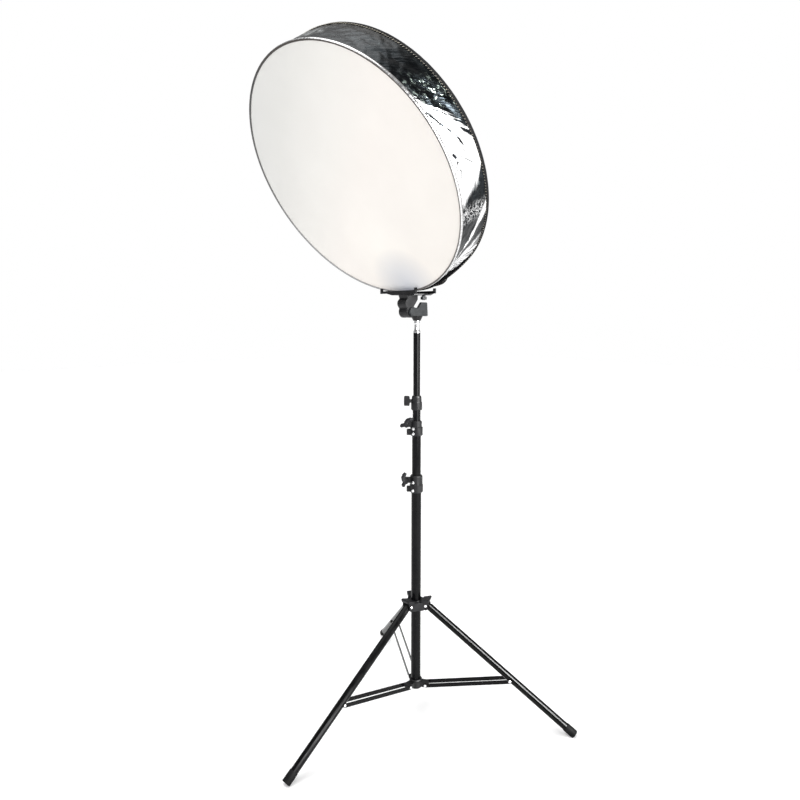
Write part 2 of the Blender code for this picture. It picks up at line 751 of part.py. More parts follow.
T_KNOB_Z = 912.4 * MM


def make_t_knob():
    """A flat grip across the end of the clamping screw."""
    tip = TUBE_RADIUS["upper"] + GAP
    start, end = 18.2 * MM, 34.6 * MM
    half = 13.4 * MM
    outline = [
        (start, -4 * MM),
        (start + 2 * MM, -half),
        (end - 2 * MM, -half),
        (end, -half + 2 * MM),
        (end + 0.6 * MM, 0),
        (end, half - 2 * MM),
        (end - 2 * MM, half),
        (start + 2 * MM, half),
        (start, 4 * MM),
    ]
    grip = outline_solid("knob_upper", outline, 4.5 * MM, PARTS)
    moved(grip, UPRIGHT)
    neck = rod("knob_upper_neck", 5.2 * MM, (16.4 * MM, 0, 0), (24 * MM, 0, 0), sides=16)
    stud = rod("knob_upper_stud", 3 * MM, (tip, 0, 0), (24 * MM, 0, 0), sides=12)
    combine(grip, "UNION", [neck, stud])
    finish(grip, PLASTIC, matrix=EARS @ Matrix.Translation((0, 0, T_KNOB_Z)))


# --- head --------------------------------------------------------------------------------------

SPIGOT_RADIUS = 7.4 * MM
SPIGOT_TOP = 1158.0 * MM
SOCKET_LOW = 1148.3 * MM
SOCKET_TOP = 1163.0 * MM
SOCKET_BORE = SPIGOT_RADIUS + GAP


def make_spigot():
    """The chromed stud in the top tube's end, with the groove that the head's screw finds."""
    seat = TUBE_SPAN["upper"][1] + GAP
    inside = TUBE_RADIUS["upper"] - TUBE_WALL - GAP
    profile = [
        (0.0, SPIGOT_TOP),
        (SPIGOT_RADIUS - 1 * MM, SPIGOT_TOP),
        (SPIGOT_RADIUS, SPIGOT_TOP - 1 * MM),
        (SPIGOT_RADIUS, 1125 * MM),
        (SPIGOT_RADIUS - 0.8 * MM, 1122 * MM),
        (SPIGOT_RADIUS - 0.8 * MM, 1112 * MM),
        (SPIGOT_RADIUS, 1107 * MM),
        (TUBE_RADIUS["upper"], 1103 * MM),
        (TUBE_RADIUS["upper"], seat),
        (inside, seat),
        (inside, seat - 30 * MM),
        (0.0, seat - 30 * MM),
    ]
    finish(turned("spigot", profile), CHROME)


def make_socket_collar():
    """The flared eight-sided collar under the head's socket."""
    low = 1132.0 * MM
    high = SOCKET_LOW - GAP
    profile = [
        (12.5 * MM, high),
        (15.5 * MM, high - 3 * MM),
        (15.0 * MM, high - 6 * MM),
        (11.2 * MM, low + 2 * MM),
        (10.4 * MM, low),
        (SOCKET_BORE + 0.2 * MM, low),
        (SOCKET_BORE + 0.2 * MM, high),
    ]
    collar = turned("socket_collar", profile, closed=True, sides=16)
    finish(collar, PLASTIC)


def make_head_socket():
    """The swivelling casting: the socket on the spigot and a tongue forward to the tilt axis."""
    body = rounded_box(
        "head_socket",
        (-15 * MM, -15 * MM, SOCKET_LOW),
        (15 * MM, 15 * MM, SOCKET_TOP),
        3 * MM,
    )
    neck = box(
        "socket_neck",
        (-TONGUE_HALF_WIDTH + 0.2 * MM, TILT_Y, SOCKET_LOW + 0.5 * MM),
        (TONGUE_HALF_WIDTH - 0.2 * MM, -10 * MM, SOCKET_TOP - 0.5 * MM),
    )
    barrel = rod(
        "socket_barrel",
        BARREL_RADIUS - GAP,
        (-TONGUE_HALF_WIDTH, TILT_Y, TILT_Z),
        (TONGUE_HALF_WIDTH, TILT_Y, TILT_Z),
        sides=28,
    )
    bore = rod(
        "socket_bore", SOCKET_BORE, (0, 0, 1.12), (0, 0, SPIGOT_TOP + GAP), sides=TUBE_SIDES
    )
    bolt_way = rod("socket_bolt_way", 3.3 * MM, (-0.04, TILT_Y, TILT_Z), (0.04, TILT_Y, TILT_Z), sides=12)
    screw_way = rod(
        "socket_screw_way", 3.3 * MM, (-0.03, 0, SOCKET_SCREW_Z), (0, 0, SOCKET_SCREW_Z), sides=12
    )
    combine(body, "UNION", [neck, barrel])
    combine(body, "DIFFERENCE", [bore, bolt_way, screw_way])
    finish(body, PLASTIC, origin=(0.0, 0.0, SOCKET_LOW))


SOCKET_SCREW_Z = 1154.5 * MM


def make_socket_knob():
    knob, look = thumb_knob(
        "socket_knob", 9 * MM, 9 * MM, 5 * MM, 3 * MM, 3 * MM, 8 * MM, PLASTIC
    )
    tip = Matrix.Translation((-SPIGOT_RADIUS - GAP, 0, SOCKET_SCREW_Z))
    finish(knob, look, matrix=tip @ Matrix.Rotation(radians(90), 4, "Y"))


def make_tilt_block():
    """The tilting casting: two cheeks about the tongue, and a web up to the bracket."""
    top = PLATE_Z - GAP
    centre = (TILT_Y, TILT_Z)
    profile = [(-13 * MM, 1188 * MM), (-13 * MM, top), (-54 * MM, top), (-50 * MM, 1191 * MM)]
    profile += arc((-46 * MM, 1177.5 * MM), 12.3 * MM, 125, 225, 8)
    profile += arc(centre, BARREL_RADIUS, 150, 415, 22)
    block = outline_solid("tilt_block", profile, HEAD_HALF_WIDTH, PARTS)
    moved(block, SIDE_ON)
    slot = rod(
        "tilt_slot",
        BARREL_RADIUS + GAP,
        (-TONGUE_HALF_WIDTH - GAP, TILT_Y, TILT_Z),
        (TONGUE_HALF_WIDTH + GAP, TILT_Y, TILT_Z),
        sides=32,
    )
    neck_room = outline_solid(
        "tilt_neck_room",
        [
            (TILT_Y, TILT_Z),
            (TILT_Y + 40 * MM, TILT_Z - 10 * MM),
            (TILT_Y + 40 * MM, TILT_Z + 45 * MM),
            (TILT_Y + 5 * MM, TILT_Z + 18.5 * MM),
        ],
        TONGUE_HALF_WIDTH + GAP,
    )
    moved(neck_room, SIDE_ON)
    bolt_way = rod("tilt_bolt_way", 3.3 * MM, (-0.04, TILT_Y, TILT_Z), (0.04, TILT_Y, TILT_Z), sides=12)
    combine(block, "DIFFERENCE", [slot, neck_room, bolt_way])
    finish(block, PLASTIC, TILT, origin=TILT_AT)


def make_tilt_bolt():
    """The cross bolt of the tilt joint, its head on the -X side."""
    head = HEAD_HALF_WIDTH + GAP
    profile = [
        (0.0, 20.5 * MM),
        (3 * MM, 20.5 * MM),
        (3 * MM, -head),
        (7 * MM, -head),
        (7 * MM, -head - 3 * MM),
        (5 * MM, -head - 4.5 * MM),
        (0.0, -head - 4.5 * MM),
    ]
    at = Matrix.Translation((0, TILT_Y, TILT_Z)) @ Matrix.Rotation(radians(90), 4, "Y")
    finish(turned("tilt_bolt", profile, sides=12), CHROME, TILT, at)


def make_tilt_lever():
    """The locking lever on the +X side: a round boss and a stepped paddle to the rear."""
    y, z = TILT_Y, TILT_Z
    outline = arc((y, z), 11.5 * MM, 80, 280, 12)
    outline += [(y + 48 * MM, 1144 * MM)]
    outline += arc((y + 50 * MM, 1148 * MM), 4 * MM, -70, 0, 3)
    outline += arc((y + 48 * MM, 1177 * MM), 4 * MM, 20, 90, 3)
    outline += [(y + 31 * MM, 1181 * MM), (y + 18 * MM, 1165 * MM)]
    lever = outline_solid("tilt_lever", outline, 4 * MM, PARTS)
    start = HEAD_HALF_WIDTH + 2 * GAP
    moved(lever, Matrix.Translation((start + 4 * MM, 0, 0)) @ SIDE_ON)
    pocket = rod(
        "lever_pocket", 3.3 * MM, (start - 1 * MM, y, z), (20.8 * MM, y, z), sides=12
    )
    combine(lever, "DIFFERENCE", [pocket])
    finish(lever, GREY_PLASTIC, TILT, origin=TILT_AT)


# --- bracket and lamp --------------------------------------------------------------------------

FRONT_BAR = (-80.0 * MM, 56.0 * MM, -60.5 * MM, -56.5 * MM)  # x from, x to, y from, y to
REAR_BAR = (-74.0 * MM, 50.0 * MM, 17.0 * MM, 21.0 * MM)
BAR_TOP = 1211.0 * MM
FINGER_TOP = 1217.5 * MM
BRACKET_KNOB_AT = (26.0 * MM, -1.0 * MM)


def make_bracket():
    """A plate with four tapered arms; a rail in front of and behind the rims, with fingers."""
    x0, x1, front, _ = FRONT_BAR
    x2, x3, _, rear = REAR_BAR
    front, rear = front + 0.5 * MM, rear - 0.5 * MM
    waist = [
        (x0, front),
        (x1, front),
        (x1, front + 7 * MM),
        (22 * MM, front + 20 * MM),
        (34 * MM, -10 * MM),
        (34 * MM, 6 * MM),
        (x3, rear - 7 * MM),
        (x3, rear),
        (x2, rear),
        (x2, rear - 7 * MM),
        (-30 * MM, 4 * MM),
        (-30 * MM, front + 22 * MM),
        (x0, front + 7 * MM),
    ]
    plate = outline_solid("bracket_plate", waist, PLATE_THICKNESS / 2, PARTS)
    moved(plate, Matrix.Translation((0, 0, PLATE_Z + PLATE_THICKNESS / 2)))
    added = []
    for name, (start, end, near, far) in (("front", FRONT_BAR), ("rear", REAR_BAR)):
        rail = box(f"rail_{name}", (start, near, PLATE_Z + 0.5 * MM), (end, far, BAR_TOP))
        added.append(rail)
        for i, x in enumerate((start - 0.5 * MM, end - 6.5 * MM)):
            low = (x, near - 0.5 * MM, PLATE_Z + 1 * MM)
            high = (x + 7 * MM, far + 0.5 * MM, FINGER_TOP)
            added.append(box(f"finger_{name}_{i}", low, high))
    x, y = BRACKET_KNOB_AT
    way = rod("bracket_knob_way", 3.3 * MM, (x, y, 1.19), (x, y, 1.22), sides=12)
    under = [way]
    for name, outer, knee, inner in (("left", x0, -56 * MM, -34 * MM), ("right", x1, 44 * MM, 30 * MM)):
        past = outer + (outer - inner) / 4
        low, root, top = PLATE_Z - 9 * MM, PLATE_Z - 0.5 * MM, PLATE_Z + 4.7 * MM
        outline = [(past, low), (inner, low), (inner, root), (knee, top), (past, top)]
        relief = outline_solid("rail_relief_" + name, outline, 55 * MM)
        under.append(moved(relief, Matrix.Translation((0, -20 * MM, 0)) @ UPRIGHT))
    combine(plate, "UNION", added)
    combine(plate, "DIFFERENCE", under)
    finish(plate, PLASTIC, TILT, origin=(0.0, TILT_Y, PLATE_Z))


def make_bracket_knob():
    knob, look = thumb_knob(
        "bracket_knob", 8.5 * MM, 8 * MM, 5 * MM, 3 * MM, 3 * MM, 5.5 * MM, GREY_PLASTIC
    )
    x, y = BRACKET_KNOB_AT
    finish(knob, look, TILT, Matrix.Translation((x, y, PLATE_Z + 5 * MM)))


LAMP_FOOT = Vector((-12.0, -22.0, 1214.8)) * MM
LAMP_LEAN = 30.0


def make_lamp():
    """A small battery lamp inside the drum: a foot on the bracket, a body and a front lens."""
    x, y, z = LAMP_FOOT
    foot = rounded_box(
        "lamp_foot", (x - 10 * MM, y - 9 * MM, z), (x + 10 * MM, y + 9 * MM, z + 3 * MM), 0.8 * MM
    )
    half, seat = 6 * MM, z + 14.5 * MM - GAP / cos(radians(LAMP_LEAN))
    rise = half * sin(radians(LAMP_LEAN)) / cos(radians(LAMP_LEAN))
    wedge = [(y - half, z + 1 * MM), (y + half, z + 1 * MM), (y + half, seat + rise), (y - half, seat - rise)]
    post = moved(outline_solid("lamp_post", wedge, half), SIDE_ON @ Matrix.Translation((0, 0, x)))
    combine(foot, "UNION", [post])
    finish(foot, PLASTIC, TILT, origin=LAMP_FOOT)
    lean = Matrix.Translation((x, y, z + 14.5 * MM)) @ Matrix.Rotation(radians(LAMP_LEAN), 4, "X")
    body = rounded_box(
        "lamp_body", (-24 * MM, -13 * MM, 0), (24 * MM, 11 * MM, 56 * MM), 3 * MM
    )
    recess = box("lamp_recess", (-20 * MM, -15 * MM, 6 * MM), (20 * MM, -10 * MM, 50 * MM))
    combine(body, "DIFFERENCE", [recess])
    finish(body, PLASTIC, TILT, lean)
    lens = rounded_box(
        "lamp_lens",
        (-19.7 * MM, -13.6 * MM, 6.3 * MM),
        (19.7 * MM, -10.3 * MM, 49.7 * MM),
        1 * MM,
    )
    finish(lens, LENS, TILT, lean)


LENS = (WHITE, 0.3, 0.0)


# --- drum --------------------------------------------------------------------------------------


def drum_place(point):
    """Draws the drum's plain round shape to its real one: the rear rim sits lower, and at the
    bottom the bracket pulls it towards the front rim."""
    x, y, z = point
    depth = -z / DRUM_DEPTH
    share = min(max((depth - 0.08) / 0.82, 0.0), 1.0)
    angle = abs(atan2(x, -y))
    ramp = min(max((PINCH_END - angle) / (PINCH_END - PINCH_FULL), 0.0), 1.0)
    pull = ramp * ramp * (3 - 2 * ramp) * share
    reach = min(hypot(x, y) / REAR_RADIUS, 1.0) ** 3
    below = max(depth, 0.0)
    return Vector((x, y - REAR_DROP * below, z + PINCH * pull * reach - REAR_TURN * y * below))


def drum_part(name, profile, look, closed=True):
    """A part of the drum, turned about the drum's axis and drawn to shape."""
    shape = bmesh.new()
    rings = []
    for radius, depth in profile:
        if radius == 0.0:
            rings.append([shape.verts.new(drum_place((0.0, 0.0, depth)))])
            continue
        ring_points = []
        for i in range(DRUM_SIDES):
            angle = tau * i / DRUM_SIDES
            point = (radius * sin(angle), -radius * cos(angle), depth)
            ring_points.append(shape.verts.new(drum_place(point)))
        rings.append(ring_points)
    pairs = list(zip(rings, rings[1:]))
    if closed:
        pairs.append((rings[-1], rings[0]))
    for upper, lower in pairs:
        for i in range(DRUM_SIDES):
            j = (i + 1) % DRUM_SIDES
            corners = [upper[i % len(upper)], upper[j % len(upper)]]
            corners += [lower[j % len(lower)], lower[i % len(lower)]]
            shape.faces.new(list(dict.fromkeys(corners)))
    bmesh.ops.recalc_face_normals(shape, faces=shape.faces)
    item = from_bmesh(name, shape)
    lean = Matrix.Rotation(radians(90 + DRUM_LEAN), 4, "X")
    return finish(item, look, TILT, Matrix.Translation(DRUM_CENTRE) @ lean)


def hoop_profile(radius, middle, skin):
    outer = radius - skin - GAP
    inner = outer - HOOP_THICKNESS
    half = HOOP_WIDTH / 2
    return [(outer, middle + half), (outer, middle - half), (inner, middle - half), (inner, middle + half)]


def binding_profile(radius, middle, skin, lip):
    """A channel of tape round the hoop, open towards the drum's axis."""
    wall = radius - skin
    half = HOOP_WIDTH / 2 + GAP
    edge = radius - lip
    return [
        (radius, middle + half + skin),
        (radius, middle - half - skin),
        (edge, middle - half - skin),
        (edge, middle - half),
        (wall, middle - half),
        (wall, middle + half),
        (edge, middle + half),
        (edge, middle + half + skin),
    ]


FRONT_SKIN = 0.8 * MM
REAR_SKIN = 1.2 * MM
FRONT_LIP = 4.4 * MM
REAR_LIP = 9.0 * MM


def make_drum():
    rear = -DRUM_DEPTH
    drum_part("front_hoop", hoop_profile(FRONT_RADIUS, 0.0, FRONT_SKIN), SPRING_STEEL)
    drum_part("rear_hoop", hoop_profile(REAR_RADIUS, rear, REAR_SKIN), SPRING_STEEL)
    front_tape = binding_profile(FRONT_RADIUS, 0.0, FRONT_SKIN, FRONT_LIP)
    drum_part("front_binding", front_tape, TAPE)
    rear_tape = binding_profile(REAR_RADIUS, rear, REAR_SKIN, REAR_LIP)
    drum_part("rear_binding", rear_tape, TAPE)

    face = FRONT_RADIUS - FRONT_SKIN - HOOP_THICKNESS - 2 * GAP
    sheet = [(0.0, FABRIC), (face, FABRIC), (face, 0.0), (0.0, 0.0)]
    drum_part("front_diffuser", sheet, DIFFUSER, closed=False)

    back = REAR_RADIUS - REAR_SKIN - HOOP_THICKNESS - 2 * GAP
    steps = (0.0, 0.5, 0.75, 0.9, 1.0)
    upper = [(back * s, rear + FABRIC / 2) for s in steps]
    lower = [(back * s, rear - FABRIC / 2) for s in reversed(steps)]
    drum_part("rear_panel", upper + lower, TAPE, closed=False)

    start = -(HOOP_WIDTH / 2 + FRONT_SKIN + 2 * GAP)
    end = rear + HOOP_WIDTH / 2 + REAR_SKIN + 2 * GAP
    outer_side, inner_side = [], []
    rows = 4
    for i in range(rows + 1):
        share = i / rows
        depth = start + (end - start) * share
        radius = FRONT_RADIUS - 0.5 * MM + (REAR_RADIUS - FRONT_RADIUS) * share
        outer_side.append((radius, depth))
        inner_side.append((radius - FABRIC, depth))
    drum_part("side_wall", outer_side + inner_side[::-1], FOIL)
    make_pull_tab()


TAB_ANGLE = radians(16.8)
TAB_HALF_WIDTH = 25.0 * MM
TAB_REACH = 8.0 * MM
TAB_THICKNESS = 3.4 * MM


def make_pull_tab():
    """A long thin fold of strap on the rear binding, lower right: a leaf, fullest past its middle."""
    shape = bmesh.new()
    bmesh.ops.create_cube(shape, size=1.0)
    bmesh.ops.subdivide_edges(shape, edges=shape.edges[:], cuts=5, use_grid_fill=True)
    for vert in shape.verts:
        across, out, deep = vert.co
        along = 2 * across - 0.25 * (1 - 4 * across * across)
        full = 0.12 + 0.88 * (1 - along * along)
        radius = REAR_RADIUS + GAP + (out + 0.5) * TAB_REACH * full
        angle = TAB_ANGLE + across * 2 * TAB_HALF_WIDTH / radius
        depth = -DRUM_DEPTH + deep * TAB_THICKNESS * (0.5 + 0.5 * full) * (1 - 0.5 * out)
        vert.co = drum_place((radius * sin(angle), -radius * cos(angle), depth))
    bmesh.ops.recalc_face_normals(shape, faces=shape.faces)
    item = from_bmesh("pull_tab", shape)
    lean = Matrix.Rotation(radians(90 + DRUM_LEAN), 4, "X")
    finish(item, TAPE, TILT, Matrix.Translation(DRUM_CENTRE) @ lean)


# --- the whole stand ---------------------------------------------------------------------------

LOW_CLAMP_RIVETS = ((661.8 * MM, 19.0 * MM), (684.4 * MM, 17.6 * MM))
MIDDLE_CLAMP_RIVETS = ((822.7 * MM, 17.5 * MM), (836.5 * MM, 17.5 * MM))
LOW_BOLT_Z = 689.0 * MM
MIDDLE_BOLT_Z = 847.0 * MM


def make_stand():
    make_tube("base_tube", "base")
    make_tube("mast_lower_tube", "lower")
    make_tube("mast_middle_tube", "middle")
    make_tube("mast_upper_tube", "upper")
    make_column_plug()
    make_lower_collar()
    make_hub()
    make_hub_knob()
    for name, azimuth in LEG_AZIMUTHS.items():
        make_leg(name, azimuth)
        make_brace(name, azimuth)
    make_lever_clamp(
        "clamp_lower",
        "base",
        "lower",
        (654 * MM, 19.0 * MM, 676.0 * MM),
        (677.5 * MM, 17.6 * MM, 703 * MM),
        LOW_BOLT_Z,
        LOW_CLAMP_RIVETS,
    )
    make_lever_clamp(
        "clamp_middle",
        "lower",
        "middle",
        (815.5 * MM, 17.5 * MM, 838.5 * MM),
        (841.0 * MM, 15.0 * MM, 857 * MM),
        MIDDLE_BOLT_Z,
        MIDDLE_CLAMP_RIVETS,
    )
    for label, height, radius, tube in (
        ("lower_a", *LOW_CLAMP_RIVETS[0], "base"),
        ("lower_b", *LOW_CLAMP_RIVETS[1], "base"),
        ("middle_a", *MIDDLE_CLAMP_RIVETS[0], "lower"),
        ("middle_b", *MIDDLE_CLAMP_RIVETS[1], "lower"),
    ):
        make_rivet("clamp_rivet_" + label, radius, height, tube)
    make_lever("lever_lower", LOW_BOLT_Z, 0.0)
    make_lever("lever_middle", MIDDLE_BOLT_Z, -50.0)
    make_upper_clamp()
    make_t_knob()


def make_head():
    make_spigot()
    make_socket_collar()
    make_head_socket()
    make_socket_knob()
    make_tilt_block()
    make_tilt_bolt()
    make_tilt_lever()
    make_bracket()
    make_bracket_knob()
    make_lamp()


make_stand()
make_head()
make_drum()
follow_frames()
bpy.context.view_layer.update()
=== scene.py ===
"""Visual model of the reflector disc on its light stand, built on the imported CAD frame."""

from math import atan2, cos, hypot, pi, radians, sin, tau

import bpy
import numpy as np
from mathutils import Matrix, Vector, noise


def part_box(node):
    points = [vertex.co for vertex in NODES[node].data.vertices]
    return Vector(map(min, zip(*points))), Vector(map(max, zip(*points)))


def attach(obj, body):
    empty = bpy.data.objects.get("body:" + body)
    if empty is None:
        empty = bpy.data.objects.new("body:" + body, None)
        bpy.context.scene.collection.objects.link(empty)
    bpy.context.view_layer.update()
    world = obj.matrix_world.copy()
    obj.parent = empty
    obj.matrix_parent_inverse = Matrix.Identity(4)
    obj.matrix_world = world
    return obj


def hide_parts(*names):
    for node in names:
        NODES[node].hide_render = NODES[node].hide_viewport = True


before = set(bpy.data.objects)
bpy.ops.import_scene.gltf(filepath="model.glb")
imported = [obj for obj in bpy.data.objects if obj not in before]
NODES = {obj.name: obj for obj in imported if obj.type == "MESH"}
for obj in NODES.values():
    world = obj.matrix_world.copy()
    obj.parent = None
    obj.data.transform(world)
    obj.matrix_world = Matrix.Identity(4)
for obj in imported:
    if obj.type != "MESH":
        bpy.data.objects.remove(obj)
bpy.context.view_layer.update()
MM = 0.001

# --- where things are, as in the CAD -----------------------------------------------------------

base_low, base_high = (Vector(corner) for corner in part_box("base_tube"))
COLUMN_Y = (base_low.y + base_high.y) / 2
FRONT_RADIUS = 318.0 * MM
REAR_RADIUS = 324.0 * MM
DRUM_DEPTH = 93.6 * MM
REAR_DROP = 11.0 * MM
REAR_TURN = 0.014
PINCH = 54.0 * MM
PINCH_FULL = radians(9.0)
PINCH_END = radians(38.0)
WALL_WIDTH = DRUM_DEPTH - 6.5 * MM
DRUM_FORWARD = 230.4 * MM
DRUM_HEIGHT = 1464.4 * MM
DRUM_TILT = radians(126)
DRUM = Matrix.Translation((0.0, COLUMN_Y - DRUM_FORWARD, DRUM_HEIGHT))
DRUM = DRUM @ Matrix.Rotation(DRUM_TILT, 4, "X")
HEAD = "tilting_head"


def drum_place(x, y, z):
    """The drum's round shape drawn to its real one: the bracket pinches the rear rim forward."""
    depth = -z / DRUM_DEPTH
    share = min(max((depth - 0.08) / 0.82, 0.0), 1.0)
    angle = abs(atan2(x, -y))
    ramp = min(max((PINCH_END - angle) / (PINCH_END - PINCH_FULL), 0.0), 1.0)
    pull = ramp * ramp * (3 - 2 * ramp) * share
    reach = min(hypot(x, y) / REAR_RADIUS, 1.0) ** 3
    below = max(depth, 0.0)
    return Vector((x, y - REAR_DROP * below, z + PINCH * pull * reach - REAR_TURN * y * below))


def on_drum(radius, angle, z):
    """A point of the drum's frame by radius, angle from the drum's bottom and depth."""
    return drum_place(radius * sin(angle), -radius * cos(angle), z)


# --- camera ------------------------------------------------------------------------------------

camera_data = bpy.data.cameras.new("camera")
camera_data.lens = 28.57
camera_data.sensor_width = 36.0
camera_data.clip_start = 0.05
camera_data.clip_end = 60.0
camera = bpy.data.objects.new("camera", camera_data)
camera.location = (1.2245, COLUMN_Y - 1.2331, 1.1422)
camera.rotation_mode = "QUATERNION"
camera.rotation_quaternion = Vector((-0.7170, 0.6849, -0.1298)).to_track_quat("-Z", "Y")
bpy.context.scene.collection.objects.link(camera)
bpy.context.scene.camera = camera

# --- materials ---------------------------------------------------------------------------------


class Nodes:
    """A short way to write a node tree."""

    def __init__(self, name):
        self.made = bpy.data.materials.new(name)
        self.made.use_nodes = True
        self.tree = self.made.node_tree
        self.shader = self.tree.nodes["Principled BSDF"]
        self.coordinates = self.tree.nodes.new("ShaderNodeTexCoord")

    def add(self, kind, **settings):
        node = self.tree.nodes.new("ShaderNode" + kind)
        for key, value in settings.items():
            setattr(node, key, value)
        return node

    def link(self, source, target):
        self.tree.links.new(source, target)

    def set(self, **values):
        for key, value in values.items():
            self.shader.inputs[key.replace("_", " ")].default_value = value

    def mapping(self, source, scale):
        node = self.add("Mapping")
        node.inputs["Scale"].default_value = scale
        self.link(source, node.inputs["Vector"])
        return node.outputs["Vector"]

    def noise(self, vector, scale, detail=3.0, roughness=0.55, distortion=0.0):
        node = self.add("TexNoise")
        node.inputs["Scale"].default_value = scale
        node.inputs["Detail"].default_value = detail
        node.inputs["Roughness"].default_value = roughness
        node.inputs["Distortion"].default_value = distortion
        self.link(vector, node.inputs["Vector"])
        return node.outputs["Fac"]

    def ramp(self, source, stops):
        """Greys or colours along a source, from (position, value) stops."""
        node = self.add("ValToRGB")
        elements = node.color_ramp.elements
        while len(elements) < len(stops):
            elements.new(0.5)
        for element, (position, colour) in zip(elements, stops):
            element.position = position
            grey = colour if hasattr(colour, "__len__") else (colour, colour, colour)
            element.color = (*grey, 1.0)
        self.link(source, node.inputs["Fac"])
        return node.outputs["Color"]

    def math(self, operation, first, second=None, clamp=False):
        node = self.add("Math", operation=operation, use_clamp=clamp)
        for socket, value in zip(node.inputs, (first, second)):
            if value is None:
                continue
            if isinstance(value, (int, float)):
                socket.default_value = value
            else:
                self.link(value, socket)
        return node.outputs["Value"]

    def smooth(self, source, low, high):
        """0 below low, 1 above high and a soft step between."""
        node = self.add("MapRange", interpolation_type="SMOOTHSTEP")
        node.inputs["From Min"].default_value = low
        node.inputs["From Max"].default_value = high
        self.link(source, node.inputs["Value"])
        return node.outputs["Result"]

    def between(self, source, low, high, soft):
        """1 from low to high and 0 outside, with soft steps."""
        rise = self.smooth(source, low - soft, low + soft)
        fall = self.smooth(source, high - soft, high + soft)
        return self.math("SUBTRACT", rise, fall, clamp=True)

    def times(self, *values):
        product = values[0]
        for value in values[1:]:
            product = self.math("MULTIPLY", product, value)
        return product

    def most(self, *values):
        top = values[0]
        for value in values[1:]:
            top = self.math("MAXIMUM", top, value)
        return top

    def mix(self, factor, first, second, blend="MIX"):
        node = self.add("Mix", data_type="RGBA", blend_type=blend)
        sockets = [s for s in node.inputs if s.type == "RGBA"]
        if isinstance(factor, (int, float)):
            node.inputs[0].default_value = factor
        else:
            self.link(factor, node.inputs[0])
        for socket, value in zip(sockets, (first, second)):
            if hasattr(value, "__len__"):
                socket.default_value = (*value, 1.0)
            else:
                self.link(value, socket)
        return [s for s in node.outputs if s.type == "RGBA"][0]

    def bump(self, height, strength, distance):
        node = self.add("Bump")
        node.inputs["Strength"].default_value = strength
        node.inputs["Distance"].default_value = distance
        self.link(height, node.inputs["Height"])
        return node.outputs["Normal"]

    def put(self, **links):
        for key, source in links.items():
            self.link(source, self.shader.inputs[key.replace("_", " ")])
        return self.made


def powder_coat(name, colour, roughness):
    """Baked black paint: a fine orange peel, faint dust and slightly uneven gloss."""
    n = Nodes(name)
    at = n.coordinates.outputs["Object"]
    patches = n.noise(at, 35.0, 4.0)
    peel = n.noise(at, 900.0, 2.0)
    lighter = tuple(min(1.0, c * 1.6 + 0.002) for c in colour)
    n.set(IOR=1.5, Specular_IOR_Level=0.12)
    return n.put(
        Base_Color=n.ramp(patches, [(0.35, colour), (0.75, lighter)]),
        Roughness=n.ramp(patches, [(0.3, roughness - 0.05), (0.8, roughness + 0.08)]),
        Normal=n.bump(peel, 0.10, 0.0002),
    )


def moulded(name, colour, roughness):
    """Moulded plastic: a fine grained skin with soft shade and gloss variation."""
    n = Nodes(name)
    at = n.coordinates.outputs["Object"]
    patches = n.noise(at, 60.0, 4.0)
    skin = n.noise(at, 1500.0, 3.0, 0.7)
    lighter = tuple(min(1.0, c * 1.5 + 0.006) for c in colour)
    n.set(IOR=1.47, Specular_IOR_Level=0.3)
    return n.put(
        Base_Color=n.ramp(patches, [(0.35, colour), (0.7, lighter)]),
        Roughness=n.ramp(patches, [(0.3, roughness - 0.06), (0.75, roughness + 0.1)]),
        Normal=n.bump(skin, 0.25, 0.0002),
    )


def chromed(name, roughness):
    """Plated steel with fine turning lines."""
    n = Nodes(name)
    at = n.coordinates.outputs["Object"]
    lines = n.noise(n.mapping(at, (60.0, 60.0, 4000.0)), 1.0, 2.0)
    tarnish = n.noise(at, 120.0, 4.0)
    n.set(Metallic=1.0)
    return n.put(
        Base_Color=n.ramp(tarnish, [(0.3, (0.72, 0.72, 0.73)), (0.7, (0.90, 0.90, 0.91))]),
        Roughness=n.ramp(lines, [(0.35, roughness), (0.7, roughness + 0.06)]),
        Normal=n.bump(lines, 0.01, 0.00005),
    )


def rubber(name):
    """Dull black rubber with a little dust."""
    n = Nodes(name)
    at = n.coordinates.outputs["Object"]
    dust = n.noise(at, 90.0, 5.0)
    skin = n.noise(at, 1100.0, 3.0)
    n.set(Specular_IOR_Level=0.10)
    return n.put(
        Base_Color=n.ramp(dust, [(0.4, (0.0025, 0.0025, 0.003)), (0.8, (0.010, 0.010, 0.010))]),
        Roughness=n.ramp(dust, [(0.3, 0.55), (0.8, 0.85)]),
        Normal=n.bump(skin, 0.3, 0.0003),
    )


def woven(name, colour, pitch):
    """Woven tape: over and under threads in both directions, and a little fuzz."""
    n = Nodes(name)
    # one band of the wave texture is pi / 10 long
    density = pi / pitch / 10

    def threads(direction, scale):
        wave = n.add("TexWave", wave_type="BANDS", bands_direction=direction, wave_profile="SIN")
        wave.inputs["Scale"].default_value = 1.0
        n.link(n.mapping(n.coordinates.outputs["UV"], scale), wave.inputs["Vector"])
        return wave.outputs["Fac"]

    weave = n.math("MULTIPLY", threads("X", (density, 1, 1)), threads("Y", (1, density, 1)))
    fuzz = n.noise(n.coordinates.outputs["Object"], 500.0, 3.0)
    height = n.math("ADD", weave, n.math("MULTIPLY", fuzz, 0.4))
    lighter = tuple(min(1.0, c * 2.4 + 0.002) for c in colour)
    n.set(Specular_IOR_Level=0.12)
    return n.put(
        Base_Color=n.ramp(height, [(0.2, colour), (1.0, lighter)]),
        Roughness=n.ramp(fuzz, [(0.3, 0.75), (0.7, 0.9)]),
        Normal=n.bump(height, 0.5, 0.0004),
    )


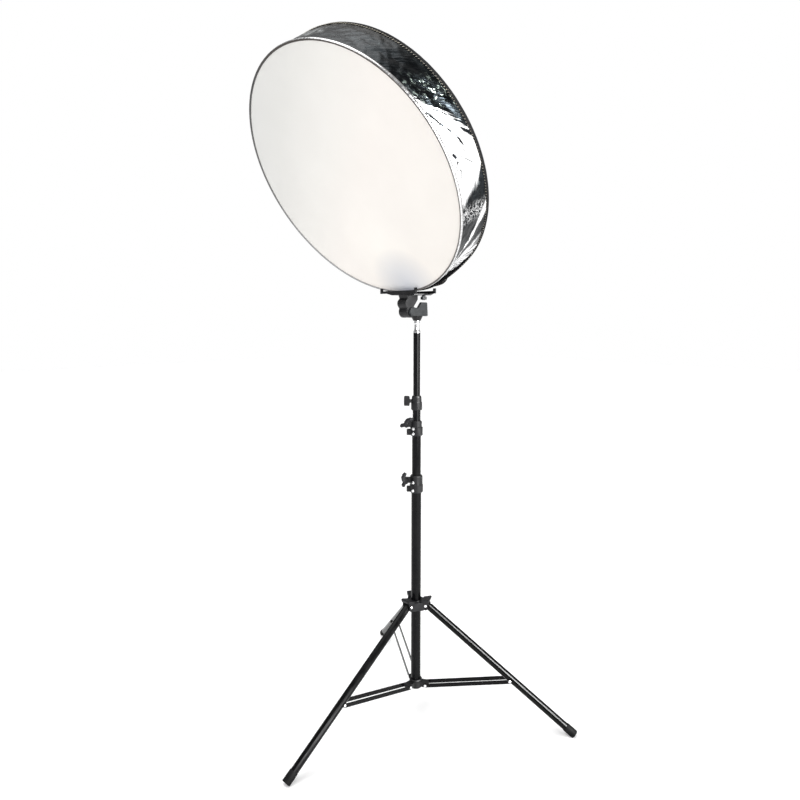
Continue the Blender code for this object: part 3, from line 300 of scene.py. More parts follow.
# the edges of the foil's painted reflections, in degrees from the bottom of the drum
TOP_EDGE = 113.0
FAN_EDGE = 67.0
FAN_ROOT = 37.0
MM_PER_DEGREE = 5.6
MM_PER_DEPTH = 94.0


def foil_material():
    """Crinkled metallised cloth. The UV map holds metres along and across the wall.

    It is painted with reflections, dark above and bright at the sides, and where the bracket
    gathers it the painted reflections of its creases fan out from one place on the front rim.
    Side is the angle from the bottom of the drum in degrees, the same to the left and the right,
    and depth goes from 0 at the front rim to 1 at the rear one.
    """
    n = Nodes("silver_foil")
    uv = n.coordinates.outputs["UV"]
    split = n.add("SeparateXYZ")
    n.link(uv, split.inputs["Vector"])
    turn = n.math("MULTIPLY", split.outputs["X"], 360 / (tau * REAR_RADIUS))
    side = n.math("MINIMUM", turn, n.math("SUBTRACT", 360.0, turn))
    depth = n.math("DIVIDE", split.outputs["Y"], WALL_WIDTH)

    def streaks(heading, along, across, detail=3.0, distortion=0.3):
        """Noise drawn out along a heading, which is measured from the rim's direction."""
        node = n.add("Mapping", vector_type="TEXTURE")
        node.inputs["Scale"].default_value = (1 / along, 1 / across, 1.0)
        node.inputs["Rotation"].default_value = (0.0, 0.0, radians(heading))
        n.link(uv, node.inputs["Vector"])
        return n.noise(node.outputs["Vector"], 1.0, detail, 0.6, distortion)

    def lean(amount, wander, field):
        """The angle round the rim, sheared with depth and made uneven by a noise field."""
        uneven = n.math("MULTIPLY", n.math("SUBTRACT", field, 0.5), wander)
        sheared = n.math("ADD", side, n.math("MULTIPLY", depth, amount))
        return n.math("ADD", sheared, uneven)

    upper = streaks(130, 5.0, 90.0)
    lower = streaks(22, 5.0, 80.0)
    mottle = n.noise(uv, 30.0, 6.0, 0.68, 1.0)
    flecks = n.noise(n.mapping(uv, (70.0, 110.0, 1.0)), 1.0, 4.0, 0.7, 0.6)
    fine = streaks(122, 20.0, 190.0, 3.0, 0.6)

    # the fan of painted crease reflections, with ray as the heading from its root in degrees
    fan_x = n.math("MULTIPLY", n.math("SUBTRACT", side, FAN_ROOT), MM_PER_DEGREE)
    fan_y = n.math("MULTIPLY", n.math("ADD", depth, 0.06), MM_PER_DEPTH)
    ray = n.math("MULTIPLY", n.math("ARCTAN2", fan_y, fan_x), 180 / pi)
    ray = n.math("ADD", ray, n.math("MULTIPLY", n.math("SUBTRACT", mottle, 0.5), 9.0))
    rays = n.add("CombineXYZ")
    n.link(n.math("MULTIPLY", ray, 0.16), rays.inputs["X"])
    n.link(n.math("MULTIPLY", depth, 1.4), rays.inputs["Y"])
    fan = n.noise(rays.outputs["Vector"], 1.0, 2.0, 0.5, 0.2)

    # the shapes of the painted dark reflection, from the top of the drum down
    top = n.smooth(lean(23.0, 34.0, upper), TOP_EDGE, TOP_EDGE + 3.0)
    lines = n.times(
        n.between(lean(22.0, 10.0, upper), TOP_EDGE - 16.0, TOP_EDGE + 2.0, 2.0),
        n.smooth(upper, 0.56, 0.59),
    )
    stroke = n.times(
        n.between(lean(28.0, 5.0, upper), TOP_EDGE - 6.0, TOP_EDGE - 4.2, 0.4),
        n.smooth(depth, 0.66, 0.56),
    )
    # small dark flecks of painted reflection at the side, near the front rim
    dark_reflection_flecks = n.times(
        n.between(side, 81.0, 92.0, 2.0),
        n.between(depth, 0.06, 0.26, 0.05),
        n.smooth(flecks, 0.5, 0.54),
    )
    below = n.math("SUBTRACT", 1.0, n.smooth(lean(-12.0, 16.0, lower), FAN_EDGE, FAN_EDGE + 4.0))
    wedge = n.times(below, n.between(ray, 0.0, 50.0, 2.0))
    wedge = n.math("SUBTRACT", wedge, n.times(wedge, n.between(ray, 28.5, 33.5, 1.2)))
    bottom = n.times(below, n.smooth(ray, 47.0, 51.0), n.smooth(fan, 0.50, 0.56))
    # painted glints: bright gaps in the painted dark reflection among the crumples
    crumple_glints = n.times(n.between(side, 61.0, 68.0, 2.0), n.between(flecks, 0.46, 0.50, 0.01))
    # the mask of the painted dark reflection
    dark_reflection_mask = n.most(top, lines, stroke, dark_reflection_flecks, wedge, n.math("MULTIPLY", bottom, 0.8))
    dark_reflection_mask = n.math("SUBTRACT", dark_reflection_mask, crumple_glints, clamp=True)

    # the painted dark reflection, with a pale patch of painted reflection at the very top, a black edge
    # of painted shade by the rear rim and greenish flecks of painted glint
    shades = [(0.3, (0.004, 0.005, 0.006)), (0.6, (0.015, 0.018, 0.020)), (0.78, (0.08, 0.092, 0.092))]
    dark = n.ramp(mottle, shades)
    # a pale patch of painted reflection at the very top
    patch = n.times(
        n.between(side, 164.0, 179.0, 4.0),
        n.between(depth, 0.3, 0.8, 0.1),
        n.smooth(mottle, 0.42, 0.6),
    )
    dark = n.mix(n.math("MULTIPLY", patch, 0.8), dark, (0.55, 0.57, 0.57))
    # a black edge of painted shade by the rear rim
    edge = n.times(n.between(side, 136.0, 190.0, 6.0), n.smooth(depth, 0.68, 0.76))
    dark = n.mix(edge, dark, (0.0015, 0.0018, 0.002))
    # greenish painted glints in the dark top
    green_glints = n.times(
        n.between(lean(6.0, 8.0, upper), TOP_EDGE - 1.0, TOP_EDGE + 10.0, 3.0),
        n.smooth(flecks, 0.55, 0.66),
    )
    dark = n.mix(green_glints, dark, (0.42, 0.50, 0.45))
    # the painted bright reflection at the sides
    bright = n.ramp(fine, [(0.25, (0.78, 0.79, 0.80)), (0.5, (0.99, 0.99, 0.99))])
    n.set(Specular_IOR_Level=0.5)
    coarse = n.mix(n.smooth(side, 92.0, 84.0), upper, lower)
    creases = n.math("ADD", n.math("MULTIPLY", fine, 0.5), coarse)
    return n.put(
        Base_Color=n.mix(dark_reflection_mask, bright, dark),
        Metallic=n.ramp(dark_reflection_mask, [(0.0, 0.5), (0.6, 1.0)]),
        Roughness=n.ramp(mottle, [(0.3, 0.17), (0.75, 0.34)]),
        Normal=n.bump(creases, 0.30, 0.004),
    )


def diffuser_material():
    """Thin white cloth with a painted glow: brightest above the lamp, bluish grey at the bottom."""
    n = Nodes("diffuser_cloth")
    uv = n.coordinates.outputs["UV"]
    split = n.add("SeparateXYZ")
    n.link(uv, split.inputs["Vector"])

    def spot(x, y, size):
        dx = n.math("SUBTRACT", split.outputs["X"], x)
        dy = n.math("SUBTRACT", split.outputs["Y"], y)
        squares = n.math("ADD", n.math("MULTIPLY", dx, dx), n.math("MULTIPLY", dy, dy))
        return n.math("DIVIDE", n.math("SQRT", squares), size)

    weave = n.noise(n.mapping(uv, (2600.0, 2600.0, 1.0)), 1.0, 1.0)
    clouds = n.noise(uv, 7.0, 3.0)
    base = n.ramp(clouds, [(0.3, (0.44, 0.435, 0.43)), (0.7, (0.465, 0.46, 0.455))])
    across = n.math("SUBTRACT", split.outputs["Y"], split.outputs["X"])
    glow = n.ramp(
        n.math("ADD", across, 0.5),
        [
            (0.0, (0.385, 0.350, 0.305)),
            (0.45, (0.400, 0.362, 0.325)),
            (0.62, (0.345, 0.330, 0.300)),
            (0.80, (0.245, 0.243, 0.222)),
            (1.0, (0.200, 0.205, 0.195)),
        ],
    )
    hot = n.ramp(spot(-0.02, -0.175, 0.12), [(0.0, 0.75), (0.5, 0.35), (1.0, 0.0)])
    glow = n.mix(hot, glow, (0.47, 0.44, 0.39))
    shadow = n.ramp(spot(0.020, -0.296, 0.112), [(0.0, 1.0), (0.45, 0.62), (1.0, 0.0)])
    glow = n.mix(shadow, glow, (0.105, 0.125, 0.170))
    n.set(Roughness=0.85, Sheen_Weight=0.2, Sheen_Roughness=0.4, Emission_Strength=1.0)
    return n.put(
        Base_Color=base,
        Emission_Color=glow,
        Normal=n.bump(weave, 0.15, 0.0002),
    )


def backing_material():
    """Dark coated cloth with a fine rib and a dull sheen."""
    n = Nodes("backing_cloth")
    uv = n.coordinates.outputs["UV"]
    rib = n.noise(n.mapping(uv, (1800.0, 900.0, 1.0)), 1.0, 1.0)
    patches = n.noise(uv, 14.0, 5.0)
    n.set(Sheen_Weight=0.3, Sheen_Roughness=0.45)
    return n.put(
        Base_Color=n.ramp(patches, [(0.3, (0.012, 0.012, 0.014)), (0.75, (0.032, 0.032, 0.036))]),
        Roughness=n.ramp(patches, [(0.3, 0.42), (0.75, 0.62)]),
        Normal=n.bump(rib, 0.3, 0.0003),
    )


def round_rim(n, radius):
    """The share of the way round a rim, from its bottom."""
    split = n.add("SeparateXYZ")
    n.link(n.coordinates.outputs["UV"], split.inputs["Vector"])
    return n.math("DIVIDE", split.outputs["X"], tau * radius)


def seam_material():
    """The brown seam tape inside the front rim, with painted light and shade: darkest above and palest at
    the lower left.
    """
    n = Nodes("seam_tape")
    threads = n.noise(n.mapping(n.coordinates.outputs["UV"], (900.0, 2500.0, 1.0)), 1.0, 2.0)
    # painted light and shade round the rim
    shade = n.ramp(
        round_rim(n, FRONT_RADIUS),
        [
            (0.0, (0.13, 0.12, 0.115)),
            (0.20, (0.20, 0.19, 0.18)),
            (0.30, (0.12, 0.11, 0.105)),
            (0.36, (0.045, 0.033, 0.028)),
            (0.50, (0.045, 0.036, 0.032)),
            (0.58, (0.05, 0.05, 0.05)),
            (0.74, (0.16, 0.16, 0.16)),
            (0.84, (0.40, 0.40, 0.41)),
            (0.96, (0.45, 0.45, 0.46)),
            (1.0, (0.13, 0.12, 0.115)),
        ],
    )
    dim = n.mix(n.ramp(threads, [(0.3, 0.45), (0.7, 0.0)]), shade, (0.02, 0.018, 0.016))
    return n.put(
        Base_Color=dim,
        Roughness=n.ramp(threads, [(0.3, 0.55), (0.7, 0.8)]),
        Normal=n.bump(threads, 0.4, 0.0003),
    )


def thread_material():
    """Twisted tan sewing thread."""
    n = Nodes("tan_thread")
    twist = n.noise(n.coordinates.outputs["Object"], 1500.0, 2.0)
    return n.put(
        Base_Color=n.ramp(twist, [(0.3, (0.34, 0.30, 0.22)), (0.7, (0.75, 0.70, 0.58))]),
        Roughness=n.ramp(twist, [(0.3, 0.5), (0.7, 0.75)]),
    )


def lens_material():
    """The lamp's moulded lens, lit from behind."""
    n = Nodes("lamp_lens")
    cells = n.add("TexVoronoi")
    cells.inputs["Scale"].default_value = 400.0
    n.link(n.coordinates.outputs["Object"], cells.inputs["Vector"])
    bead = cells.outputs["Distance"]
    n.set(Roughness=0.3, Emission_Strength=1.0)
    return n.put(
        Base_Color=n.ramp(bead, [(0.0, (0.9, 0.88, 0.84)), (1.0, (0.6, 0.58, 0.55))]),
        Emission_Color=n.ramp(bead, [(0.0, (0.9, 0.86, 0.78)), (1.0, (0.5, 0.47, 0.42))]),
        Normal=n.bump(bead, 0.4, 0.0004),
    )


def foil_bead_material():
    """The foil drawn tight over the front hoop: bright metal with faint puckers, painted reflections
    round the rim and painted shade in the puckers.
    """
    n = Nodes("foil_bead")
    uv = n.coordinates.outputs["UV"]
    puckers = n.noise(n.mapping(uv, (220.0, 30.0, 1.0)), 1.0, 3.0)
    # painted reflections: brighter and darker stretches round the rim
    shade = n.ramp(
        round_rim(n, FRONT_RADIUS),
        [
            (0.0, 0.5),
            (0.08, 0.9),
            (0.22, 0.9),
            (0.26, 0.45),
            (0.36, 0.95),
            (0.48, 0.95),
            (0.53, 0.35),
            (1.0, 0.5),
        ],
    )
    # painted shade in the puckers
    pucker_shade = n.ramp(puckers, [(0.3, (0.55, 0.55, 0.56)), (0.7, (1.0, 1.0, 1.0))])
    n.set(Metallic=1.0)
    return n.put(
        Base_Color=n.mix(1.0, shade, pucker_shade, blend="MULTIPLY"),
        Roughness=n.ramp(puckers, [(0.3, 0.15), (0.7, 0.3)]),
        Normal=n.bump(puckers, 0.3, 0.0008),
    )


BLACK_PAINT = powder_coat("black_powder_coat", (0.0024, 0.0024, 0.0029), 0.20)
LEG_PAINT = powder_coat("leg_paint", (0.0008, 0.0008, 0.0010), 0.14)
BRACE_PAINT = powder_coat("brace_paint", (0.0012, 0.0012, 0.0015), 0.26)
DARK_PLASTIC = moulded("dark_plastic", (0.0045, 0.0045, 0.0058), 0.40)
HEAD_PLASTIC = moulded("head_plastic", (0.0035, 0.0035, 0.0046), 0.40)
LEVER_PLASTIC = moulded("lever_plastic", (0.009, 0.009, 0.011), 0.32)
# a paler copy of the dark head plastic, as painted light on the tilt lever and bracket knob
LIT_GREY_PLASTIC = moulded("grey_plastic", (0.020, 0.023, 0.025), 0.36)
CHROME = chromed("chrome", 0.10)
RIVET_STEEL = chromed("rivet_steel", 0.22)
SPRING_STEEL = chromed("spring_steel", 0.30)
RUBBER = rubber("foot_rubber")
TAPE = woven("binding_tape", (0.0015, 0.0015, 0.002), 1.2 * MM)
SEAM = seam_material()
FOIL = foil_material()
DIFFUSER = diffuser_material()
BACKING = backing_material()
THREAD = thread_material()
LENS = lens_material()
BEAD = foil_bead_material()


# --- making pieces -----------------------------------------------------------------------------


def piece(name, vertices, faces, looks, body, uvs=None, face_looks=None):
    """A smooth mesh that rides on a body. UVs are given corner by corner, in metres."""
    mesh = bpy.data.meshes.new(name)
    mesh.from_pydata([tuple(v) for v in vertices], [], faces)
    if uvs is not None:
        layer = mesh.uv_layers.new(name="cloth")
        for polygon, corners in zip(mesh.polygons, uvs):
            for loop, uv in zip(polygon.loop_indices, corners):
                layer.data[loop].uv = uv
    for look in looks:
        mesh.materials.append(look)
    if face_looks is not None:
        mesh.polygons.foreach_set("material_index", face_looks)
    mesh.shade_smooth()
    item = bpy.data.objects.new(name, mesh)
    bpy.context.scene.collection.objects.link(item)
    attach(item, body)
    return item


def band_faces(rows, sides, closed, length, widths):
    """Faces and UVs in metres of a band whose rows are rings."""
    faces, uvs = [], []
    for row in range(rows if closed else rows - 1):
        other = (row + 1) % rows
        v0, v1 = widths[row], widths[row + 1]
        for i in range(sides):
            j = (i + 1) % sides
            u0, u1 = length * i / sides, length * (i + 1) / sides
            faces.append((row * sides + i, row * sides + j, other * sides + j, other * sides + i))
            uvs.append(((u0, v0), (u1, v0), (u1, v1), (u0, v1)))
    return faces, uvs


def disc_grid(rings, sides, radius, crowd):
    """Flat points of a disc, the middle first. A crowd below 1 draws the rings towards the rim."""
    flat = [(0.0, 0.0)]
    for ring in range(1, rings + 1):
        reach = radius * (ring / rings) ** crowd
        for i in range(sides):
            angle = tau * i / sides
            flat.append((reach * sin(angle), -reach * cos(angle)))
    return flat


def disc_faces(rings, sides, flip):
    """Faces of a disc grid, turned over where flip is true."""
    faces = []
    for ring in range(rings):
        outer = 1 + ring * sides
        inner = outer - sides
        for i in range(sides):
            j = (i + 1) % sides
            if ring == 0:
                corners = (0, outer + i, outer + j)
            else:
                corners = (inner + i, outer + i, outer + j, inner + j)
            faces.append(corners[:1] + corners[:0:-1] if flip else corners)
    return faces


RIM_SIDES = 288


def pucker(row, angle):
    """How far the sewn edge wanders in and out round a rim."""
    return 0.25 * MM * noise.noise(Vector((angle * 60.0, row * 0.7, 0.0)))


def ring_piece(name, radius, profile, looks, face_look=None):
    """A bead round a rim: profile is a closed list of (radius, depth) in the drum's frame."""
    rows, sides = len(profile), RIM_SIDES
    vertices = []
    for row, (rho, z) in enumerate(profile):
        for i in range(sides):
            angle = tau * i / sides
            vertices.append(DRUM @ on_drum(rho + pucker(row, angle), angle, z))
    widths = [0.0]
    for (r0, z0), (r1, z1) in zip(profile, profile[1:] + profile[:1]):
        widths.append(widths[-1] + hypot(r1 - r0, z1 - z0))
    faces, uvs = band_faces(rows, sides, True, tau * radius, widths)
    face_looks = None
    if face_look:
        face_looks = [face_look[row] for row in range(rows) for _ in range(sides)]
    return piece(name, vertices, faces, looks, HEAD, uvs, face_looks)


# --- front sheet -------------------------------------------------------------------------------

SHEET_RINGS = 44
SHEET_SIDES = 160


def sheet_height(x, y):
    """How far the white sheet stands off its plane: faint pulls near the rim and the bracket."""
    radius = hypot(x, y)
    angle = atan2(x, -y)
    edge = max(0.0, (radius - 0.235) / 0.08)
    ripple = noise.noise(Vector((angle * 9.0, 3.1, radius * 9.0))) * 0.5 * MM * edge
    # fine folds that fan out to the right of the bracket
    near = max(0.0, 1.0 - hypot(x - 0.13, y + 0.20) / 0.15)
    folds = noise.noise(Vector(((y + 0.35 * x) * 120.0, (x - y) * 8.0, 0.7)))
    return ripple + 0.9 * MM * near * folds


def make_sheet():
    """The white front sheet, with its rings closer together near the rim."""
    face = FRONT_RADIUS - 3.2 * MM
    flat = disc_grid(SHEET_RINGS, SHEET_SIDES, face, 0.9)
    vertices = [DRUM @ Vector((x, y, 0.5 * MM + sheet_height(x, y))) for x, y in flat]
    faces = disc_faces(SHEET_RINGS, SHEET_SIDES, flip=False)
    uvs = [[flat[corner] for corner in corners] for corners in faces]
    item = piece("front_sheet", vertices, faces, [DIFFUSER], HEAD, uvs)
    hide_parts("front_diffuser")


# --- side wall: foil cloth settled between the two hoops ---------------------------------------

WALL_ROWS = 23
WALL_SIDES = 384
ALONG_THREADS = 1.0
ACROSS_THREADS = 0.6
SLACK = 1.006
PINCHING_STEPS = 70
RESTING_STEPS = 60
PASSES = 4
SMOOTHING = 0.06
GATHERED = radians(60)
MOST_INWARDS = 30.0 * MM
MOST_OUTWARDS = 5.0 * MM


def pull_edges(points, first, second, rest, strength, held):
    """Moves the ends of edges together or apart towards their rest lengths."""
    delta = points[second] - points[first]
    length = np.linalg.norm(delta, axis=-1, keepdims=True)
    change = delta * (strength * 0.5 * (1.0 - rest[..., None] / np.maximum(length, 1e-9)))
    share_first = 1.0 - held[first][..., None]
    share_second = 1.0 - held[second][..., None]
    total = np.maximum(share_first + share_second, 1e-9)
    points[first] += change * 2 * share_first / total
    points[second] -= change * 2 * share_second / total


def edge_sets():
    """The wall's edges and diagonals in sets that share no vertex, with how firmly each pulls."""
    index = np.arange(WALL_ROWS * WALL_SIDES).reshape(WALL_ROWS, WALL_SIDES)
    beside = np.roll(index, -1, axis=1)
    straight, diagonal = [], []
    for start in (0, 1):
        upper = index[start:-1:2]
        lower = index[start + 1 :: 2][: len(upper)]
        straight.append((upper, lower, ALONG_THREADS))
        straight.append((index[:, start::2], beside[:, start::2], ALONG_THREADS))
        diagonal.append((upper, np.roll(lower, -1, axis=1), ACROSS_THREADS))
        diagonal.append((upper, np.roll(lower, 1, axis=1), ACROSS_THREADS))
    return [(first.ravel(), second.ravel(), pull) for first, second, pull in straight + diagonal]


def band_between(front, rear):
    """Rows of points on straight lines from the front ring to the rear one."""
    share = np.linspace(0.0, 1.0, WALL_ROWS)[:, None, None]
    return front[None] * (1 - share) + rear[None] * share


def outwards_at(angles):
    """Directions away from the drum's axis."""
    return np.stack([np.sin(angles), -np.cos(angles), np.zeros_like(angles)], axis=-1)


def settle_wall(front, rear_flat, rear_real):
    """Cloth between two rings. It starts unpinched, then the rear ring moves to its real place."""
    rows, sides = WALL_ROWS, WALL_SIDES
    points = band_between(front, rear_flat).reshape(-1, 3)
    angles = np.tile(np.arange(sides) * tau / sides, rows)
    depth = np.repeat(np.linspace(0.0, 1.0, rows), sides)
    held = np.zeros(rows * sides)
    held[:sides] = 1.0
    held[-sides:] = 1.0
    sets = edge_sets()
    rests = [np.linalg.norm(points[b] - points[a], axis=-1) * SLACK for a, b, _ in sets]
    # small seeds for the creases, mostly inwards near the bracket
    seeds = np.array(
        [
            noise.noise(Vector((angle * 16.0 + d * 5.0, d * 3.0, 0.3)))
            + 0.6 * noise.noise(Vector((angle * 34.0 - d * 7.0, d * 5.0, 1.7)))
            for angle, d in zip(angles, depth)
        ]
    )
    bulge = np.sin(pi * depth)
    near = np.clip((GATHERED - np.abs((angles + pi) % tau - pi)) / GATHERED, 0.0, 1.0)
    points += outwards_at(angles) * (bulge * (2.4 * MM * seeds - 7.0 * MM * near))[:, None]
    for step in range(PINCHING_STEPS + RESTING_STEPS):
        share = min(1.0, (step + 1) / PINCHING_STEPS)
        points[-sides:] = rear_flat * (1 - share) + rear_real * share
        for _ in range(PASSES):
            for (a, b, strength), rest in zip(sets, rests):
                pull_edges(points, a, b, rest, strength, held)
        grid_points = points.reshape(rows, sides, 3)
        beside = np.roll(grid_points, 1, axis=1) + np.roll(grid_points, -1, axis=1)
        around = beside[1:-1] + grid_points[:-2] + grid_points[2:]
        grid_points[1:-1] += SMOOTHING * (around / 4 - grid_points[1:-1])
    return points.reshape(rows, sides, 3)


def make_wall():
    """The foil wall."""
    rows, sides = WALL_ROWS, WALL_SIDES
    z0, z1 = -3.0 * MM, -DRUM_DEPTH + 3.5 * MM
    front_radius = FRONT_RADIUS - 0.8 * MM
    rear_radius = REAR_RADIUS - 0.8 * MM
    angles = [tau * i / sides for i in range(sides)]
    front = np.array([on_drum(front_radius, a, z0) for a in angles])

    def flat_rear(angle):
        point = Vector((rear_radius * sin(angle), -rear_radius * cos(angle), z1))
        depth = -z1 / DRUM_DEPTH
        return point + Vector((0.0, -REAR_DROP * depth, -REAR_TURN * point.y * depth))

    rear_real = np.array([on_drum(rear_radius, a, z1) for a in angles])
    wall = straight = band_between(front, rear_real)
    rear_flat = np.array([flat_rear(a) for a in angles])
    wall = settle_wall(front, rear_flat, rear_real)
    out = outwards_at(angles)[None]
    off = ((wall - straight) * out).sum(-1, keepdims=True)
    wall = wall + out * (np.clip(off, -MOST_INWARDS, MOST_OUTWARDS) - off)
    vertices = [DRUM @ Vector(p) for p in wall.reshape(-1, 3)]
    width = z0 - z1
    widths = [width * row / (rows - 1) for row in range(rows)]
    faces, uvs = band_faces(rows, sides, False, tau * REAR_RADIUS, widths)
    item = piece("foil_wall", vertices, faces, [FOIL], HEAD, uvs)
    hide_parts("side_wall")


# --- rear panel --------------------------------------------------------------------------------


def make_backing():
    """The dark rear cloth, folded where the bracket pinches it."""
    rings, sides = 40, 160
    face = REAR_RADIUS - 3.0 * MM
    flat = disc_grid(rings, sides, face, 1.0)
    vertices = []
    for x, y in flat:
        radius, angle = hypot(x, y), atan2(x, -y)
        edge = min(1.0, radius / 0.30)
        ripple = 0.8 * MM * edge * noise.noise(Vector((angle * 7.0, radius * 4.0, 5.0)))
        near = max(0.0, 1.0 - abs(angle) / radians(52)) * edge**2 * (1.02 - (radius / face) ** 6)
        folds = 3.2 * MM * near * sin(angle * 34.0 + 2.0 * noise.noise(Vector((x * 9, y * 9, 2.0))))
        vertices.append(DRUM @ (drum_place(x, y, -DRUM_DEPTH) + Vector((0.0, 0.0, ripple + folds))))
    faces = disc_faces(rings, sides, flip=True)
    uvs = [[flat[corner] for corner in corners] for corners in faces]
    item = piece("rear_cloth", vertices, faces, [BACKING], HEAD, uvs)
    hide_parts("rear_panel")


# --- rims --------------------------------------------------------------------------------------


def make_rims():
    """The front rim, foil drawn over the hoop with a seam inside it, and the rear tape."""
    r = FRONT_RADIUS
    front = [
        (r - 1.3 * MM, -6.0 * MM),
        (r - 0.1 * MM, -4.6 * MM),
        (r + 0.3 * MM, -2.6 * MM),
        (r + 0.4 * MM, 0.0),
        (r + 0.1 * MM, 1.8 * MM),
        (r - 0.9 * MM, 3.0 * MM),
        (r - 2.2 * MM, 3.4 * MM),
        (r - 3.1 * MM, 3.0 * MM),
        (r - 4.3 * MM, 2.6 * MM),
        (r - 5.0 * MM, 1.6 * MM),
        (r - 4.9 * MM, 0.4 * MM),
        (r - 2.4 * MM, -5.6 * MM),
    ]
    front_look = [1, 1, 0, 0, 0, 1, 1, 1, 1, 1, 0, 0]
    item = ring_piece("front_rim", r, front, [BEAD, SEAM], front_look)
    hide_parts("front_binding")
    r, z = REAR_RADIUS, -DRUM_DEPTH
    rear = [
        (r - 9.0 * MM, z + 3.4 * MM),
        (r - 4.0 * MM, z + 5.4 * MM),
        (r - 1.6 * MM, z + 7.6 * MM),
        (r - 0.2 * MM, z + 7.4 * MM),
        (r + 0.3 * MM, z + 5.0 * MM),
        (r + 0.5 * MM, z + 2.2 * MM),
        (r + 0.5 * MM, z),
        (r + 0.4 * MM, z - 2.2 * MM),
        (r - 0.1 * MM, z - 3.6 * MM),
        (r - 1.2 * MM, z - 4.2 * MM),
        (r - 4.0 * MM, z - 4.1 * MM),
        (r - 9.0 * MM, z - 3.4 * MM),
        (r - 9.4 * MM, z - 2.4 * MM),
        (r - 9.0 * MM, z - 1.6 * MM),
        (r - 9.0 * MM, z + 1.6 * MM),
        (r - 9.4 * MM, z + 2.4 * MM),
    ]
    item = ring_piece("rear_rim", r, rear, [TAPE])
    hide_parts("rear_binding")


# --- stitches and the loose fold ---------------------------------------------------------------

STITCHES = 300
FOLD_ANGLE = radians(16.4)
FOLD_HALF_LENGTH = 20.0 * MM
FOLD_REACH = 5.2 * MM


def make_stitches():
    """Short stitches across the edge where the wall meets the rear tape."""
    vertices, faces = [], []
    slant = 1.3 * MM / REAR_RADIUS
    half = 0.42 * MM
    z0, z1 = -DRUM_DEPTH + 5.6 * MM, -DRUM_DEPTH + 9.4 * MM
    for i in range(STITCHES):
        middle = tau * (i + 0.5) / STITCHES
        ends = []
        for share in (0.0, 0.5, 1.0):
            angle = middle + slant * (share * 2 - 1)
            lift = 0.9 * MM * (1 - (2 * share - 1) ** 2)
            ends.append((angle, z0 + (z1 - z0) * share, lift))
        start = len(vertices)
        for angle, z, lift in ends:
            for da, dr in ((-half, 0.0), (0.0, half * 1.1), (half, 0.0), (0.0, -half)):
                rho = REAR_RADIUS + 0.1 * MM + lift + dr
                vertices.append(DRUM @ on_drum(rho, angle + da / REAR_RADIUS, z))
        for section in range(2):
            for k in range(4):
                a, b = start + section * 4 + k, start + section * 4 + (k + 1) % 4
                faces.append((a, b, b + 4, a + 4))
        faces.append((start + 3, start + 2, start + 1, start))
        faces.append((start + 8, start + 9, start + 10, start + 11))
    item = piece("rear_stitches", vertices, faces, [THREAD], HEAD)


def make_fold():
    """The loose fold of strap sewn under the rear tape: thin at both ends, fullest past half."""
    steps, sides = 28, 14
    vertices, faces, uvs = [], [], []
    for i in range(steps + 1):
        along = i / steps * 2 - 1
        skewed = along - 0.25 * (1 - along * along)
        full = 0.10 + 0.90 * (1 - skewed * skewed)
        for k in range(sides):
            around = tau * k / sides
            out = 0.5 + 0.5 * cos(around)
            crease = 0.5 * MM * noise.noise(Vector((along * 5.0, k * 0.9, 4.0))) * full
            rho = REAR_RADIUS + 0.6 * MM + out * FOLD_REACH * full + crease
            lift = (1.7 * MM * sin(around) + 0.9 * MM * sin(2 * around)) * (0.45 + 0.55 * full)
            angle = FOLD_ANGLE + along * FOLD_HALF_LENGTH / REAR_RADIUS
            vertices.append(DRUM @ on_drum(rho, angle, -DRUM_DEPTH + lift))
    for i in range(steps):
        for k in range(sides):
            a, b = i * sides + k, i * sides + (k + 1) % sides
            faces.append((a, b, b + sides, a + sides))
            u, w = i * 1.8 * MM, k * 1.3 * MM
            uvs.append(((u, w), (u, w + 1.3 * MM), (u + 1.8 * MM, w + 1.3 * MM), (u + 1.8 * MM, w)))
    first, last = list(range(sides)), [steps * sides + k for k in range(sides)]
    faces += [tuple(reversed(first)), tuple(last)]
    uvs += [[(0.0, 0.0)] * sides, [(0.0, 0.0)] * sides]
    item = piece("rear_fold", vertices, faces, [TAPE], HEAD, uvs)
    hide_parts("pull_tab")


make_fold()
make_sheet()
make_wall()
make_backing()
make_rims()
make_stitches()


# --- stand details -----------------------------------------------------------------------------


def lathe(name, profile, sides, matrix, look, body, clamp_floor=False):
    """A closed turned shape about Z of (radius, height), first and last points on the axis."""
    vertices, faces = [], []
    rings = []
    for radius, height in profile:
        if radius == 0.0:
            rings.append([len(vertices)] * sides)
            vertices.append(matrix @ Vector((0.0, 0.0, height)))
            continue
        rings.append(list(range(len(vertices), len(vertices) + sides)))
        for i in range(sides):
            angle = tau * i / sides
            vertices.append(matrix @ Vector((radius * cos(angle), radius * sin(angle), height)))
    for upper, lower in zip(rings, rings[1:]):
        for i in range(sides):
            j = (i + 1) % sides
            corners = list(dict.fromkeys((upper[i], lower[i], lower[j], upper[j])))
            faces.append(tuple(corners))
    if clamp_floor:
        for vertex in vertices:
            vertex.z = max(vertex.z, 0.0)
    item = piece(name, vertices, faces, [look], body)
    item.data.set_sharp_from_angle(angle=radians(40))
    return item


SLOPE = radians(37.4)
AZIMUTHS = {"front": -90.0, "right": 30.0, "left": 150.0}
HUB_PIN = Vector((31.5, 326.1)) * MM
LEG_LENGTH = 529.0 * MM
BRACE_JOINT = 308.0 * MM
BRACE_DROP = 4.4 * MM
BRACE_FACE = 12.8 * MM


def outward_frame(azimuth):
    """The column's foot, with X turned to point along a leg."""
    return Matrix.Translation((0.0, COLUMN_Y, 0.0)) @ Matrix.Rotation(radians(azimuth), 4, "Z")


